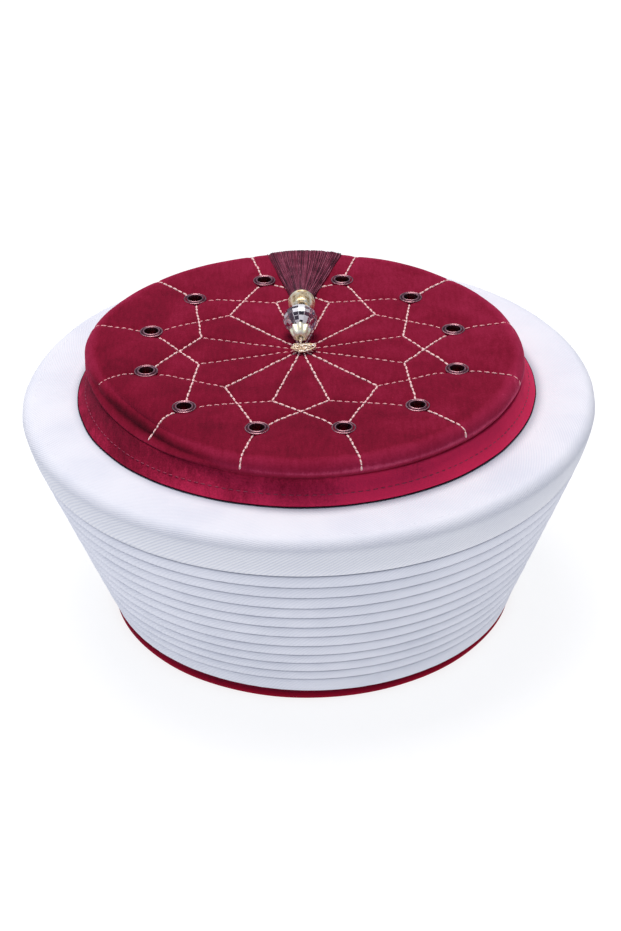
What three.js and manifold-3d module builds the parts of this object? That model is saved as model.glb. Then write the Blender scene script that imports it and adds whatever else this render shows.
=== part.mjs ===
// A turban hat: a burgundy velvet cap with a quilted crown, inside a wound and pleated white turban.
// Millimetres, +Z up. The cap's round hem rests on z = 0 and the cap's axis is the Z axis.
// The front is towards -Y, and the tassel lies on the crown towards +Y.
import * as THREE from 'three';
import { mergeVertices } from 'three/addons/utils/BufferGeometryUtils.js';
import Module from 'manifold-3d';

const wasm = await Module();
wasm.setup();

// The cap
const capRadius = 97;
const capWall = 3;
const hemRound = 0.6;

// The wound turban round it
const wrapHeight = 5.3;
const wrapThickness = 2;
const wrapFlare = 0.38;
const pleatCount = 12;
const lowPleat = 9.2;
const pleatsTop = 90.8;
const pleatGrowth = 0.115;
const pleatLap = 1.1;

// The smooth band and the flat ring above the pleats
const bandHeight = 19.6;
const bandFlare = 0.27;
const bandRound = 5;

// The collar between the flat ring and the crown
const collarHeight = 11.6;
const collarRadius = 107.6;
const collarWall = 2.4;
const collarSpace = 2;
const collarTopRadius = capRadius + collarSpace + collarWall;
const collarHollow = 1;
const collarBulge = 2;
const bulgeAngle = 80;
const bulgeHalfAngle = 70;

// The quilted crown
const crownRadius = 104.5;
const crownThickness = 8.5;
const crownUpperRound = 4.9;
const crownLowerRound = 3.5;
const crownShift = -2.7;
const crownLean = 0.4;
const sagDepth = 2.2;
const sagAngle = 50;
const sagHalfAngle = 30;
const sagWidth = 20;

// The eyelets
const eyeletCount = 12;
const eyeletCircle = 74.6;
const eyeletTurn = 14;
const eyeletBore = 6.8;
const eyeletWall = 0.7;
const eyeletFlange = 11.2;
const eyeletRoll = 1.1;

// The tassel, which lies along +Y
const knotWidth = 9;
const knotHeight = 1.8;
const knotSide = 2.8;
const knotForward = 2;
const cordThickness = 1.4;
const cupLength = 5.5;
const cupRadius = 5;
const cupWall = 0.7;
const beadLength = 14;
const beadRadius = 8.2;
const beadFacets = 10;
const beadPlace = 13.2;
const beadSide = -0.5;
const beadTilt = 14;
const ferruleLength = 13.5;
const ferruleRadius = 6;
const ferruleSide = 0.8;
const ferruleNeck = 4;
const ferruleSpacing = 2.2;
const ferruleWall = 0.8;
const lockCount = 7;
const skirtWidth = 34;
const skirtDrift = 2;
const skirtThickness = 2.4;
const skirtDrop = 13;

// Clearances and mesh steps
const gap = 0.3;
const roundSteps = 60;
const eyeletSteps = 12;
const cordSteps = 6;
const bendSteps = 3;

const capTop = pleatsTop + gap + bandHeight + gap + collarHeight;
const ringTop = pleatsTop + gap + bandHeight;
const crownUnder = capTop + gap;
const crownTop = crownUnder + crownThickness;
const wrapInner = capRadius + gap;
const sagStart = crownRadius - sagWidth;
const radians = THREE.MathUtils.degToRad;

const materials = {
  burgundyVelvet: new THREE.MeshStandardMaterial({ color: 0x78192f, roughness: 0.9, metalness: 0 }),
  whiteTwill: new THREE.MeshStandardMaterial({ color: 0xe9ebf2, roughness: 0.85, metalness: 0 }),
  bronze: new THREE.MeshStandardMaterial({ color: 0x6b4038, roughness: 0.35, metalness: 1 }),
  paleGold: new THREE.MeshStandardMaterial({ color: 0xdcc98a, roughness: 0.25, metalness: 1 }),
  crystal: new THREE.MeshStandardMaterial({ color: 0xf4f6fa, roughness: 0.03, metalness: 0 }),
  goldThread: new THREE.MeshStandardMaterial({ color: 0xdac69a, roughness: 0.6, metalness: 0 }),
  plumFloss: new THREE.MeshStandardMaterial({ color: 0x5d2338, roughness: 0.7, metalness: 0 }),
};

// A closed outline of [radius, height] pairs, counterclockwise, spun round Z.
function spun(outline, steps) {
  const points = outline.map(([radius, height]) => new THREE.Vector2(radius, height));
  return new THREE.LatheGeometry(points, steps).rotateX(Math.PI / 2);
}

// An outline that closes on itself, away from the axis.
function closed(outline) {
  return [...outline, outline[0]];
}

// The points of an arc in an outline, from one angle to the other in degrees.
function arc(centre, radius, from, to, steps) {
  const points = [];
  for (let i = 0; i <= steps; i += 1) {
    const angle = radians(from + ((to - from) * i) / steps);
    points.push([centre[0] + radius * Math.cos(angle), centre[1] + radius * Math.sin(angle)]);
  }
  return points;
}

// A solid for joining and cutting, from a closed geometry.
function solidOf(geometry) {
  const bare = geometry.clone();
  bare.deleteAttribute('normal');
  bare.deleteAttribute('uv');
  const merged = mergeVertices(bare, 1e-4);
  const corners = merged.index.array;
  const faces = [];
  for (let i = 0; i < corners.length; i += 3) {
    const [a, b, c] = [corners[i], corners[i + 1], corners[i + 2]];
    if (a !== b && b !== c && c !== a) faces.push(a, b, c);
  }
  return new wasm.Manifold(new wasm.Mesh({
    numProp: 3,
    vertProperties: new Float32Array(merged.attributes.position.array),
    triVerts: new Uint32Array(faces),
  }));
}

function geometryOf(solid) {
  const mesh = solid.getMesh();
  const geometry = new THREE.BufferGeometry();
  geometry.setAttribute('position', new THREE.BufferAttribute(mesh.vertProperties, mesh.numProp));
  geometry.setIndex(new THREE.BufferAttribute(mesh.triVerts, 1));
  geometry.computeVertexNormals();
  return geometry;
}

// A rise from 0 to 1 and back round the crown: 1 at an angle from the front towards -X, and 0 from
// half an angle away
function swell(x, y, angle, halfAngle) {
  const turn = THREE.MathUtils.radToDeg(Math.atan2(-x, -y));
  return 0.5 + 0.5 * Math.cos(Math.PI * Math.min(Math.abs(turn - angle) / halfAngle, 1));
}

// The crown leans a little to the right and sags at its front left edge. What is between the flat
// ring and the crown's underside follows in proportion, and what is on the crown follows it whole.
function settled(geometry) {
  const position = geometry.attributes.position;
  for (let i = 0; i < position.count; i += 1) {
    const [x, y, z] = [position.getX(i), position.getY(i), position.getZ(i)];
    const share = THREE.MathUtils.clamp((z - ringTop) / (crownUnder - ringTop), 0, 1);
    const fromCentre = Math.hypot(x - crownShift, y);
    const outwards = THREE.MathUtils.clamp((fromCentre - sagStart) / (crownRadius - sagStart), 0, 1);
    const sag = sagDepth * swell(x - crownShift, y, sagAngle, sagHalfAngle) * outwards;
    position.setZ(i, z - share * (x * Math.tan(radians(crownLean)) + sag));
  }
  geometry.computeVertexNormals();
  return geometry;
}

const hat = new THREE.Group();

function addPiece(name, geometry, material) {
  const mesh = new THREE.Mesh(geometry, material);
  mesh.name = name;
  hat.add(mesh);
}

// The cap's wall, with a small round at both edges of its hem
function capBody() {
  const inside = capRadius - capWall;
  const outline = closed([
    [inside + hemRound, 0],
    [capRadius - hemRound, 0],
    [capRadius, hemRound],
    [capRadius, ringTop],
    [capRadius, capTop],
    [inside, capTop],
    [inside, hemRound],
  ]);
  return settled(spun(outline, roundSteps));
}

// The turban's outer face, which flares outwards evenly from its lower edge
function wrapRadius(height) {
  return capRadius + wrapThickness + wrapFlare * (height - wrapHeight);
}

// The height of a pleat's lower edge: the lowest pleat is tall, and the others widen upwards.
function pleatEdge(index) {
  if (index === 0) return wrapHeight;
  const first = wrapHeight + lowPleat;
  const share = (index - 1) / (pleatCount - 1);
  return first + (pleatsTop - first) * (share - pleatGrowth * share * (1 - share));
}

// Each pleat laps over the one below it, so its lower edge stands proud.
function pleatedWrap() {
  const outline = [[wrapInner, wrapHeight]];
  for (let i = 0; i < pleatCount; i += 1) {
    outline.push([wrapRadius(pleatEdge(i)), pleatEdge(i)]);
    outline.push([wrapRadius(pleatEdge(i + 1)) - pleatLap, pleatEdge(i + 1)]);
  }
  outline.push([wrapInner, pleatsTop]);
  return spun(closed(outline), roundSteps);
}

function topBand() {
  const low = pleatsTop + gap;
  const straight = bandHeight - bandRound;
  const outer = wrapRadius(low) + bandFlare * straight;
  const outline = closed([
    [wrapInner, low],
    [wrapRadius(low), low],
    ...arc([outer - bandRound, low + straight], bandRound, 0, 90, 4),
    [wrapInner, ringTop],
  ]);
  return spun(outline, roundSteps);
}

// The collar's outside is slightly hollow, so that it flares towards its lower edge. On its left
// the lower edge bulges outwards.
function collar() {
  const low = ringTop + gap;
  const middle = (collarRadius + collarTopRadius) / 2 - collarHollow;
  const outline = closed([
    [collarRadius - collarWall, low],
    [collarRadius, low],
    [middle, low + collarHeight / 2],
    [collarTopRadius, capTop],
    [collarTopRadius - collarWall, capTop],
    [middle - collarWall, low + collarHeight / 2],
  ]);
  const geometry = spun(outline, roundSteps);
  const position = geometry.attributes.position;
  for (let i = 0; i < position.count; i += 1) {
    const [x, y, z] = [position.getX(i), position.getY(i), position.getZ(i)];
    const bulge = collarBulge * swell(x, y, bulgeAngle, bulgeHalfAngle) * ((capTop - z) / collarHeight);
    const grown = 1 + bulge / Math.hypot(x, y);
    position.setXY(i, x * grown, y * grown);
  }
  return settled(geometry);
}

// The place of an eyelet, turned from +Y towards -X
function eyeletPlace(index) {
  const angle = radians(eyeletTurn + (360 * index) / eyeletCount);
  return [crownShift - eyeletCircle * Math.sin(angle), eyeletCircle * Math.cos(angle)];
}

function crown() {
  const lower = [crownRadius - crownLowerRound, crownUnder + crownLowerRound];
  const upper = [crownRadius - crownUpperRound, crownTop - crownUpperRound];
  const outline = [
    [0, crownUnder],
    [sagStart, crownUnder],
    ...arc(lower, crownLowerRound, -90, 0, 3),
    ...arc(upper, crownUpperRound, 0, 90, 4),
    [sagStart, crownTop],
    [0, crownTop],
  ];
  let solid = solidOf(spun(outline, roundSteps).translate(crownShift, 0, 0));
  const holeRadius = eyeletBore / 2 + eyeletWall + gap;
  for (let i = 0; i < eyeletCount; i += 1) {
    const [x, y] = eyeletPlace(i);
    const drill = new THREE.CylinderGeometry(holeRadius, holeRadius, 2 * crownThickness, eyeletSteps);
    drill.rotateX(Math.PI / 2).translate(x, y, crownTop - crownThickness / 2);
    solid = solid.subtract(solidOf(drill));
  }
  return settled(geometryOf(solid));
}

// A barrel through the crown with a rolled flange on top
function eyelet(index) {
  const [x, y] = eyeletPlace(index);
  const bore = eyeletBore / 2;
  const barrel = bore + eyeletWall;
  const flange = eyeletFlange / 2;
  const seat = crownTop + gap;
  const outline = closed([
    [bore, crownUnder],
    [barrel, crownUnder],
    [barrel, seat],
    [flange, seat],
    [(flange + barrel) / 2, seat + eyeletRoll],
    [bore, seat + eyeletRoll / 2],
  ]);
  return settled(spun(outline, eyeletSteps).translate(x, y, 0));
}

// A flattened lump of thread in the middle of the crown
function centreKnot() {
  const geometry = new THREE.SphereGeometry(knotWidth / 2, eyeletSteps, 6);
  geometry.rotateX(Math.PI / 2).scale(1, 0.8, knotHeight / knotWidth);
  const seat = crownTop + gap + knotHeight / 2;
  return settled(geometry.translate(crownShift + knotSide, -knotForward, seat));
}

// The bead lies on its belly with its near end down, the cup on the same axis. The ferrule rests
// with its mouth on the crown, so it slopes down the other way.
const cordBore = cordThickness / 2 + 2 * gap;
const beadMiddle = new THREE.Vector3(crownShift + beadSide, beadPlace, crownTop + gap + beadRadius);
const beadAxis = new THREE.Vector3(0, Math.cos(radians(beadTilt)), Math.sin(radians(beadTilt)));
const ferruleNear = beadMiddle.clone().addScaledVector(beadAxis, beadLength / 2 + ferruleSpacing);
ferruleNear.x += ferruleSide;
const ferruleFall = ferruleNear.z - (crownTop + gap + ferruleRadius);
const ferruleTilt = -THREE.MathUtils.radToDeg(Math.asin(ferruleFall / ferruleLength));
const ferruleAxis = new THREE.Vector3(
  0,
  Math.cos(radians(ferruleTilt)),
  Math.sin(radians(ferruleTilt)),
);
const mouth = ferruleNear.clone().addScaledVector(ferruleAxis, ferruleLength);
const mouthRadius = ferruleRadius - ferruleWall - gap;

// An outline of [radius, place along the axis], spun round an axis that starts at a place and
// runs towards +Y with a tilt in degrees
function onAxis(geometry, start, tilt) {
  return settled(geometry.rotateX(radians(tilt)).translate(start.x, start.y, start.z));
}

function spunAlong(outline, steps) {
  return spun(outline, steps).rotateX(-Math.PI / 2);
}

// Out of the knot, up into the cup, along the bead's axis and into the ferrule's neck
function hangingCord() {
  const low = crownTop + gap + knotHeight + gap + cordThickness / 2;
  const near = beadMiddle.clone().addScaledVector(beadAxis, -beadLength / 2 - cupLength - gap);
  const end = ferruleNear.clone().addScaledVector(ferruleAxis, ferruleWall + gap);
  const route = new THREE.CatmullRomCurve3([
    new THREE.Vector3(crownShift + knotSide / 2, near.y - 2 * cordThickness, low),
    near,
    beadMiddle,
    beadMiddle.clone().addScaledVector(beadAxis, beadLength / 2),
    end,
  ]);
  const section = new THREE.Shape();
  for (let i = 0; i < cordSteps; i += 1) {
    const angle = (2 * Math.PI * i) / cordSteps;
    const [u, v] = [Math.cos(angle), Math.sin(angle)].map((part) => (part * cordThickness) / 2);
    if (i === 0) section.moveTo(u, v);
    else section.lineTo(u, v);
  }
  section.closePath();
  return settled(new THREE.ExtrudeGeometry(section, { steps: 16, extrudePath: route }));
}

// A small cup whose mouth holds the bead's near end
function beadCup() {
  const outline = closed([
    [cordBore, 0],
    [cupRadius * 0.55, 0],
    [cupRadius * 0.85, cupLength * 0.4],
    [cupRadius, cupLength],
    [cupRadius - cupWall, cupLength],
    [cupRadius * 0.5, cupLength - cupWall],
    [cordBore, cupLength - cupWall],
  ]);
  const start = beadMiddle.clone().addScaledVector(beadAxis, -beadLength / 2 - cupLength);
  return onAxis(spunAlong(outline, eyeletSteps), start, beadTilt);
}

// The bead is cut in rings of flat facets, with a flat table at each end and a bore through it.
const beadRings = [
  { along: 0, across: 0.5 },
  { along: 0.2, across: 0.84 },
  { along: 0.42, across: 1 },
  { along: 0.62, across: 1 },
  { along: 0.84, across: 0.82 },
  { along: 1, across: 0.5 },
];

function crystalBead() {
  const rings = beadRings.map(({ along, across }, index) => {
    const points = [];
    for (let i = 0; i < beadFacets; i += 1) {
      const angle = (2 * Math.PI * (i + (index % 2) / 2)) / beadFacets;
      const radius = beadRadius * across;
      const place = (beadLength - 2 * gap) * (along - 0.5);
      points.push(new THREE.Vector3(-radius * Math.sin(angle), place, radius * Math.cos(angle)));
    }
    return points;
  });
  const bore = new THREE.CylinderGeometry(cordBore, cordBore, 2 * beadLength, cordSteps);
  const cut = geometryOf(solidOf(loft(rings)).subtract(solidOf(bore)));
  return onAxis(cut, beadMiddle, beadTilt);
}

// A closed shell through rings of the same number of points; the first and last ring get a flat lid.
function loft(rings) {
  const count = rings[0].length;
  const corners = rings.flat().flatMap((point) => [point.x, point.y, point.z]);
  const faces = [];
  for (let r = 0; r < rings.length - 1; r += 1) {
    for (let i = 0; i < count; i += 1) {
      const [a, b] = [r * count + i, r * count + ((i + 1) % count)];
      faces.push(a, a + count, b, b, a + count, b + count);
    }
  }
  const last = (rings.length - 1) * count;
  for (let i = 1; i < count - 1; i += 1) {
    faces.push(0, i, i + 1);
    faces.push(last, last + i + 1, last + i);
  }
  const geometry = new THREE.BufferGeometry();
  geometry.setAttribute('position', new THREE.Float32BufferAttribute(corners, 3));
  geometry.setIndex(faces);
  return geometry;
}

// The gold cap, wide at the mouth that holds the tassel's head
function ferrule() {
  const bore = 2 * cordBore;
  const outline = closed([
    [bore, 0],
    [ferruleNeck, 0],
    [ferruleRadius, ferruleLength * 0.4],
    [ferruleRadius, ferruleLength],
    [ferruleRadius - ferruleWall, ferruleLength],
    [ferruleRadius - ferruleWall, ferruleLength * 0.4],
    [ferruleNeck - ferruleWall, ferruleWall],
    [bore, ferruleWall],
  ]);
  return onAxis(spunAlong(outline, eyeletSteps), ferruleNear, ferruleTilt);
}

// The skirt's sections from the ferrule's mouth to the crown's back edge: the place as a share of
// that way, the width as a share of the skirt's, and the thickness from the mouth's to the skirt's
const skirtSections = [
  { along: 0, width: 0.3, thinned: 0 },
  { along: 0.07, width: 0.43, thinned: 0.15 },
  { along: 0.25, width: 0.56, thinned: 0.6 },
  { along: 0.55, width: 0.74, thinned: 0.9 },
  { along: 1, width: 1, thinned: 1 },
];

// Each section's distance from the crown's axis, height, width and thickness. Past the crown's
// back edge the skirt bends over the edge and hangs behind it, a little away from the collar.
function skirtRoute() {
  const edge = crownRadius - crownUpperRound;
  const half = skirtThickness / 2;
  const over = crownUpperRound + 2 * gap + half;
  const away = edge + over;
  const height = crownTop - crownUpperRound;
  const start = mouth.y - ferruleRadius * ferruleAxis.z + 2 * gap;
  const route = skirtSections.map(({ along, width, thinned }) => {
    const thickness = THREE.MathUtils.lerp(2 * mouthRadius, skirtThickness, thinned);
    const lying = crownTop + gap + thickness / 2;
    return {
      along: THREE.MathUtils.lerp(start, edge, along),
      height: THREE.MathUtils.lerp(mouth.z, lying, Math.min(4 * along, 1)),
      width: width * skirtWidth,
      thickness,
      drift: along * skirtDrift,
    };
  });
  const rest = { width: skirtWidth, thickness: skirtThickness, drift: skirtDrift };
  for (let i = 1; i <= bendSteps; i += 1) {
    const angle = (Math.PI / 2) * (1 - i / bendSteps);
    const [out, up] = [over * Math.cos(angle), over * Math.sin(angle)];
    route.push({ ...rest, along: edge + out, height: height + up });
  }
  route.push({ ...rest, along: away + skirtDrop * 0.2, height: height - skirtDrop * 0.5 });
  route.push({ ...rest, along: away + skirtDrop * 0.45, height: height - skirtDrop });
  return route;
}

// One lock: a flattened section along the skirt's route, fanned out by its share sideways. The
// locks at the sides are thinner where the skirt is still a round bundle.
function lock(route, share) {
  const rings = route.map(({ along, height, width, thickness, drift }, index) => {
    const before = route[Math.max(index - 1, 0)];
    const after = route[Math.min(index + 1, route.length - 1)];
    const tilt = Math.atan2(after.height - before.height, after.along - before.along);
    const halfWidth = (0.75 * width) / lockCount;
    const round = (thickness - skirtThickness) / (2 * mouthRadius - skirtThickness);
    const halfHeight = (thickness / 2) * Math.sqrt(1 - 0.7 * round * share * share);
    const middle = share * (width / 2 - halfWidth) + drift;
    const points = [];
    for (let i = 0; i < cordSteps; i += 1) {
      const angle = (2 * Math.PI * i) / cordSteps;
      const side = middle + halfWidth * Math.cos(angle);
      const raised = halfHeight * Math.sin(angle);
      const away = along - raised * Math.sin(tilt);
      const y = Math.sqrt(away * away - side * side);
      points.push(new THREE.Vector3(crownShift + side, y, height + raised * Math.cos(tilt)));
    }
    return points;
  });
  return solidOf(loft(rings));
}

// The locks are joined to a round head inside the ferrule's mouth.
function tasselSkirt() {
  const length = ferruleLength / 2;
  const head = new THREE.CylinderGeometry(mouthRadius, mouthRadius, length, eyeletSteps);
  head.translate(0, 9 * gap - length / 2, 0);
  head.rotateX(radians(ferruleTilt)).translate(mouth.x, mouth.y, mouth.z);
  const route = skirtRoute();
  let solid = solidOf(head);
  for (let i = 0; i < lockCount; i += 1) {
    solid = solid.add(lock(route, (2 * i) / (lockCount - 1) - 1));
  }
  return settled(geometryOf(solid));
}

addPiece('cap_body', capBody(), materials.burgundyVelvet);
addPiece('pleated_wrap', pleatedWrap(), materials.whiteTwill);
addPiece('top_band', topBand(), materials.whiteTwill);
addPiece('collar', collar(), materials.burgundyVelvet);
addPiece('crown', crown(), materials.burgundyVelvet);
for (let i = 0; i < eyeletCount; i += 1) {
  addPiece(`eyelet_${String(i + 1).padStart(2, '0')}`, eyelet(i), materials.bronze);
}
addPiece('centre_knot', centreKnot(), materials.goldThread);
addPiece('hanging_cord', hangingCord(), materials.goldThread);
addPiece('bead_cup', beadCup(), materials.paleGold);
addPiece('crystal_bead', crystalBead(), materials.crystal);
addPiece('ferrule', ferrule(), materials.paleGold);
addPiece('tassel_skirt', tasselSkirt(), materials.plumFloss);

export default hat;
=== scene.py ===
import math
import random
import bmesh
import bpy
import numpy as np
from mathutils import Matrix, Vector, noise


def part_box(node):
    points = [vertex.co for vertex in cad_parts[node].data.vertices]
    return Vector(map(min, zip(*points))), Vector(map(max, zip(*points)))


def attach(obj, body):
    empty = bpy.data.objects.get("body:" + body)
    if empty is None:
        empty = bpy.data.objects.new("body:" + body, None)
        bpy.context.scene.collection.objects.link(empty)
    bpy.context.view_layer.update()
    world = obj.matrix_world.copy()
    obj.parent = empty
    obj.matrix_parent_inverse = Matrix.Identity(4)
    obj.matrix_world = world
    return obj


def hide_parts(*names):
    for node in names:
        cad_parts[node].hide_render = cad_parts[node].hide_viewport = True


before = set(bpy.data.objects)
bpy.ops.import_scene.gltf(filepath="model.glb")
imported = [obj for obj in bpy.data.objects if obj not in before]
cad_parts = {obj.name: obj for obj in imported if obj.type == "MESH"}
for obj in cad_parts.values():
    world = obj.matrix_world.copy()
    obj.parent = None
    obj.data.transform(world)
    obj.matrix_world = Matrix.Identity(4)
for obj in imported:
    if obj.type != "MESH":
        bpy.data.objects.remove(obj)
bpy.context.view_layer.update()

mm = 0.001


def hexColour(code):
    # an sRGB hex colour as Blender's linear one
    parts = [int(code[i:i + 2], 16) / 255 for i in (1, 3, 5)]
    return [p / 12.92 if p <= 0.04045 else ((p + 0.055) / 1.055) ** 2.4 for p in parts] + [1.0]


def addNode(tree, kind, inputs=None, **settings):
    made = tree.nodes.new(kind)
    for key, value in settings.items():
        setattr(made, key, value)
    for key, value in (inputs or {}).items():
        if isinstance(value, bpy.types.NodeSocket):
            tree.links.new(value, made.inputs[key])
        else:
            made.inputs[key].default_value = value
    return made


def startMaterial(name):
    material = bpy.data.materials.new(name)
    material.use_nodes = True
    material.node_tree.nodes.clear()
    return material, material.node_tree


def setRamp(ramp, stops):
    elements = ramp.color_ramp.elements
    while len(elements) > 1:
        elements.remove(elements[-1])
    elements[0].position, elements[0].color = stops[0][0], hexColour(stops[0][1])
    for place, code in stops[1:]:
        elements.new(place).color = hexColour(code)


def endMaterial(tree, shader):
    addNode(tree, "ShaderNodeOutputMaterial", {"Surface": shader.outputs[0]})


def makeGrained(name, grain, stops, finish, bump=None, rough=None, hollowShade=None):
    # a finish with a fine mottled grain: its size in mm, detail and roughness, the ramp's stops,
    # the shader's values, the bump's strength and depth, and the roughness at the grain's ends
    material, tree = startMaterial(name)
    size, detail, fineness = grain
    place = addNode(tree, "ShaderNodeTexCoord")
    mottle = addNode(tree, "ShaderNodeTexNoise", {
        "Vector": place.outputs["Object"], "Scale": 1000 / size, "Detail": detail,
        "Roughness": fineness})
    ramp = addNode(tree, "ShaderNodeValToRGB", {"Fac": mottle.outputs[0]})
    setRamp(ramp, stops)
    inputs = {"Base Color": ramp.outputs[0], **finish}
    if hollowShade:
        # painted shade: the crease attribute darkens the hollows
        marks = addNode(tree, "ShaderNodeAttribute", attribute_name="crease")
        aged = addNode(tree, "ShaderNodeMix", {
            0: marks.outputs["Fac"], 6: ramp.outputs[0], 7: hexColour(hollowShade)}, data_type="RGBA")
        inputs["Base Color"] = aged.outputs[2]
    if bump:
        relief = addNode(tree, "ShaderNodeBump", {
            "Height": mottle.outputs[0], "Strength": bump[0], "Distance": bump[1]})
        inputs["Normal"] = relief.outputs[0]
    if rough:
        polish = addNode(tree, "ShaderNodeMapRange", {
            "Value": mottle.outputs[0], "To Min": rough[0], "To Max": rough[1]})
        inputs["Roughness"] = polish.outputs[0]
    endMaterial(tree, addNode(tree, "ShaderNodeBsdfPrincipled", inputs))
    return material


def finishPiece(name, mesh, material, nodes, smooth=True):
    mesh.materials.clear()
    mesh.materials.append(material)
    mesh.polygons.foreach_set("use_smooth", [smooth] * len(mesh.polygons))
    piece = bpy.data.objects.new(name, mesh)
    bpy.context.collection.objects.link(piece)
    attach(piece, "root")
    if nodes:
        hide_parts(*nodes)
    return piece


def addPiece(name, bm, material, slot, *nodes, smooth=True):
    # the pieces are drawn in millimetres and turned to metres here
    bmesh.ops.scale(bm, vec=(mm, mm, mm), verts=bm.verts)
    mesh = bpy.data.meshes.new(name)
    bm.to_mesh(mesh)
    bm.free()
    return finishPiece(name, mesh, material, nodes, smooth)


def mix(a, b, share):
    return a + (b - a) * share


def clamp(value):
    return min(max(value, 0), 1)


def ringOf(spot, radius):
    # the direction of a spot from the axis, for the waves round the hat
    return Vector((spot.x / radius, spot.y / radius, 0))


def spinOutline(outline, steps, closed=True, creaseShades=None):
    # an outline of (radius, height) spun round Z; an open one starts and ends on the axis
    bm = bmesh.new()
    # creaseShades: painted shade at each point of the outline, kept as the crease attribute
    layer = bm.verts.layers.float.new("crease") if creaseShades else None
    corners = [bm.verts.new((radius, 0, height)) for radius, height in outline]
    if creaseShades:
        for corner, crease in zip(corners, creaseShades):
            corner[layer] = crease
    pairs = list(zip(corners, corners[1:]))
    if closed:
        pairs.append((corners[-1], corners[0]))
    edges = [bm.edges.new(pair) for pair in pairs]
    # a long row of steps is spun as a twelfth and turned twelve times, which is much quicker
    shares = 12 if steps > 200 else 1
    bmesh.ops.spin(bm, geom=corners + edges, axis=(0, 0, 1), cent=(0, 0, 0),
                   angle=math.tau / shares, steps=steps // shares, use_merge=shares == 1)
    if shares > 1:
        sector = bpy.data.meshes.new("sector")
        bm.to_mesh(sector)
        for share in range(1, shares):
            turn = Matrix.Rotation(math.tau / shares, 4, "Z")
            bmesh.ops.transform(bm, matrix=turn, verts=bm.verts)
            bm.from_mesh(sector)
        bpy.data.meshes.remove(sector)
    bmesh.ops.remove_doubles(bm, verts=bm.verts, dist=2e-3)
    bmesh.ops.recalc_face_normals(bm, faces=bm.faces)
    return bm


def spinCreased(outline, steps):
    # an outline of (radius, height, painted crease shade) spun round Z
    return spinOutline([point[:2] for point in outline], steps,
                       creaseShades=[point[2] for point in outline])


def pour(part, bm):
    # moves a small shape into a larger one
    mesh = bpy.data.meshes.new("part")
    part.to_mesh(mesh)
    part.free()
    bm.from_mesh(mesh)
    bpy.data.meshes.remove(mesh)


def arc(middle, radius, start, end, steps):
    # points on an arc in the (radius, height) plane, angles in degrees from the outward side
    points = []
    for i in range(steps + 1):
        angle = math.radians(start + (end - start) * i / steps)
        points.append((middle[0] + radius * math.cos(angle), middle[1] + radius * math.sin(angle)))
    return points


def wrapUv(bm, radius):
    # unrolls a band round Z: U is the way round it in millimetres and V the height and depth
    layer = bm.loops.layers.uv.new("cloth")
    for face in bm.faces:
        turns = [math.atan2(loop.vert.co.y, loop.vert.co.x) for loop in face.loops]
        if max(turns) - min(turns) > math.pi:
            turns = [turn + math.tau if turn < 0 else turn for turn in turns]
        for loop, turn in zip(face.loops, turns):
            spot = loop.vert.co
            loop[layer].uv = (turn * radius, spot.z - math.hypot(spot.x, spot.y))


def swell(x, y, angle, half):
    # 1 at an angle from the front towards -X, down to 0 at half a width from it
    away = abs(math.degrees(math.atan2(-x, -y)) - angle)
    away = min(away, 360 - away)
    return 0.5 + 0.5 * math.cos(math.pi * min(away / half, 1))


photoView = {
    "place": (0.17, -979.5, 666.1),   # mm
    "downward": 31.45,                # degrees below the horizon
    "roll": -1.24,
    "lens": 91.67,
    "sensor": 36.0,
    "clip": (0.01, 100),              # m
}


def makeCamera():
    data = bpy.data.cameras.new("photoCamera")
    data.lens = photoView["lens"]
    data.sensor_width = photoView["sensor"]
    data.clip_start, data.clip_end = photoView["clip"]
    camera = bpy.data.objects.new("photoCamera", data)
    bpy.context.collection.objects.link(camera)
    camera.matrix_world = (
        Matrix.Translation(Vector(photoView["place"]) * mm)
        @ Matrix.Rotation(math.radians(90 - photoView["downward"]), 4, "X")
        @ Matrix.Rotation(math.radians(photoView["roll"]), 4, "Z")
    )
    bpy.context.scene.camera = camera


studio = {
    "skyLeft": "#b7bfd7",    # the brighter side of the room
    "skyRight": "#7e869b",
    "skyStrength": 0.74,
    "boxSize": 1.0,          # m
    "boxPlace": (-0.1, 0.22, 1.7),
    "boxAim": (0, 0, 0.1),
    "boxPower": 24.5,        # W
    "boxColour": "#fffaf6",
    "paper": "#f4f4f6",
    "floorGlow": 1.2,
    "glowShare": 0.7,        # the rest of the floor's light answers to the hat's shadow
    "floorSize": 12.0,       # m
}


def makeSky():
    world = bpy.data.worlds.new("studio")
    bpy.context.scene.world = world
    world.use_nodes = True
    sky = world.node_tree.nodes["Background"]
    sky.inputs["Strength"].default_value = studio["skyStrength"]
    aim = addNode(world.node_tree, "ShaderNodeTexCoord")
    aimX = addNode(world.node_tree, "ShaderNodeSeparateXYZ", {0: aim.outputs["Generated"]})
    sideways = addNode(world.node_tree, "ShaderNodeMapRange", {
        "Value": aimX.outputs[0], "From Min": -1.0, "From Max": 1.0})
    room = addNode(world.node_tree, "ShaderNodeMix", {
        0: sideways.outputs[0], 6: hexColour(studio["skyLeft"]),
        7: hexColour(studio["skyRight"])}, data_type="RGBA")
    world.node_tree.links.new(room.outputs[2], sky.inputs["Color"])


def makeSoftbox():
    data = bpy.data.lights.new("softbox", "AREA")
    data.shape = "SQUARE"
    data.size = studio["boxSize"]
    data.energy = studio["boxPower"]
    data.color = hexColour(studio["boxColour"])[:3]
    softbox = bpy.data.objects.new("softbox", data)
    bpy.context.collection.objects.link(softbox)
    softbox.location = studio["boxPlace"]
    towards = Vector(studio["boxAim"]) - softbox.location
    softbox.rotation_euler = towards.to_track_quat("-Z", "Y").to_euler()


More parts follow.
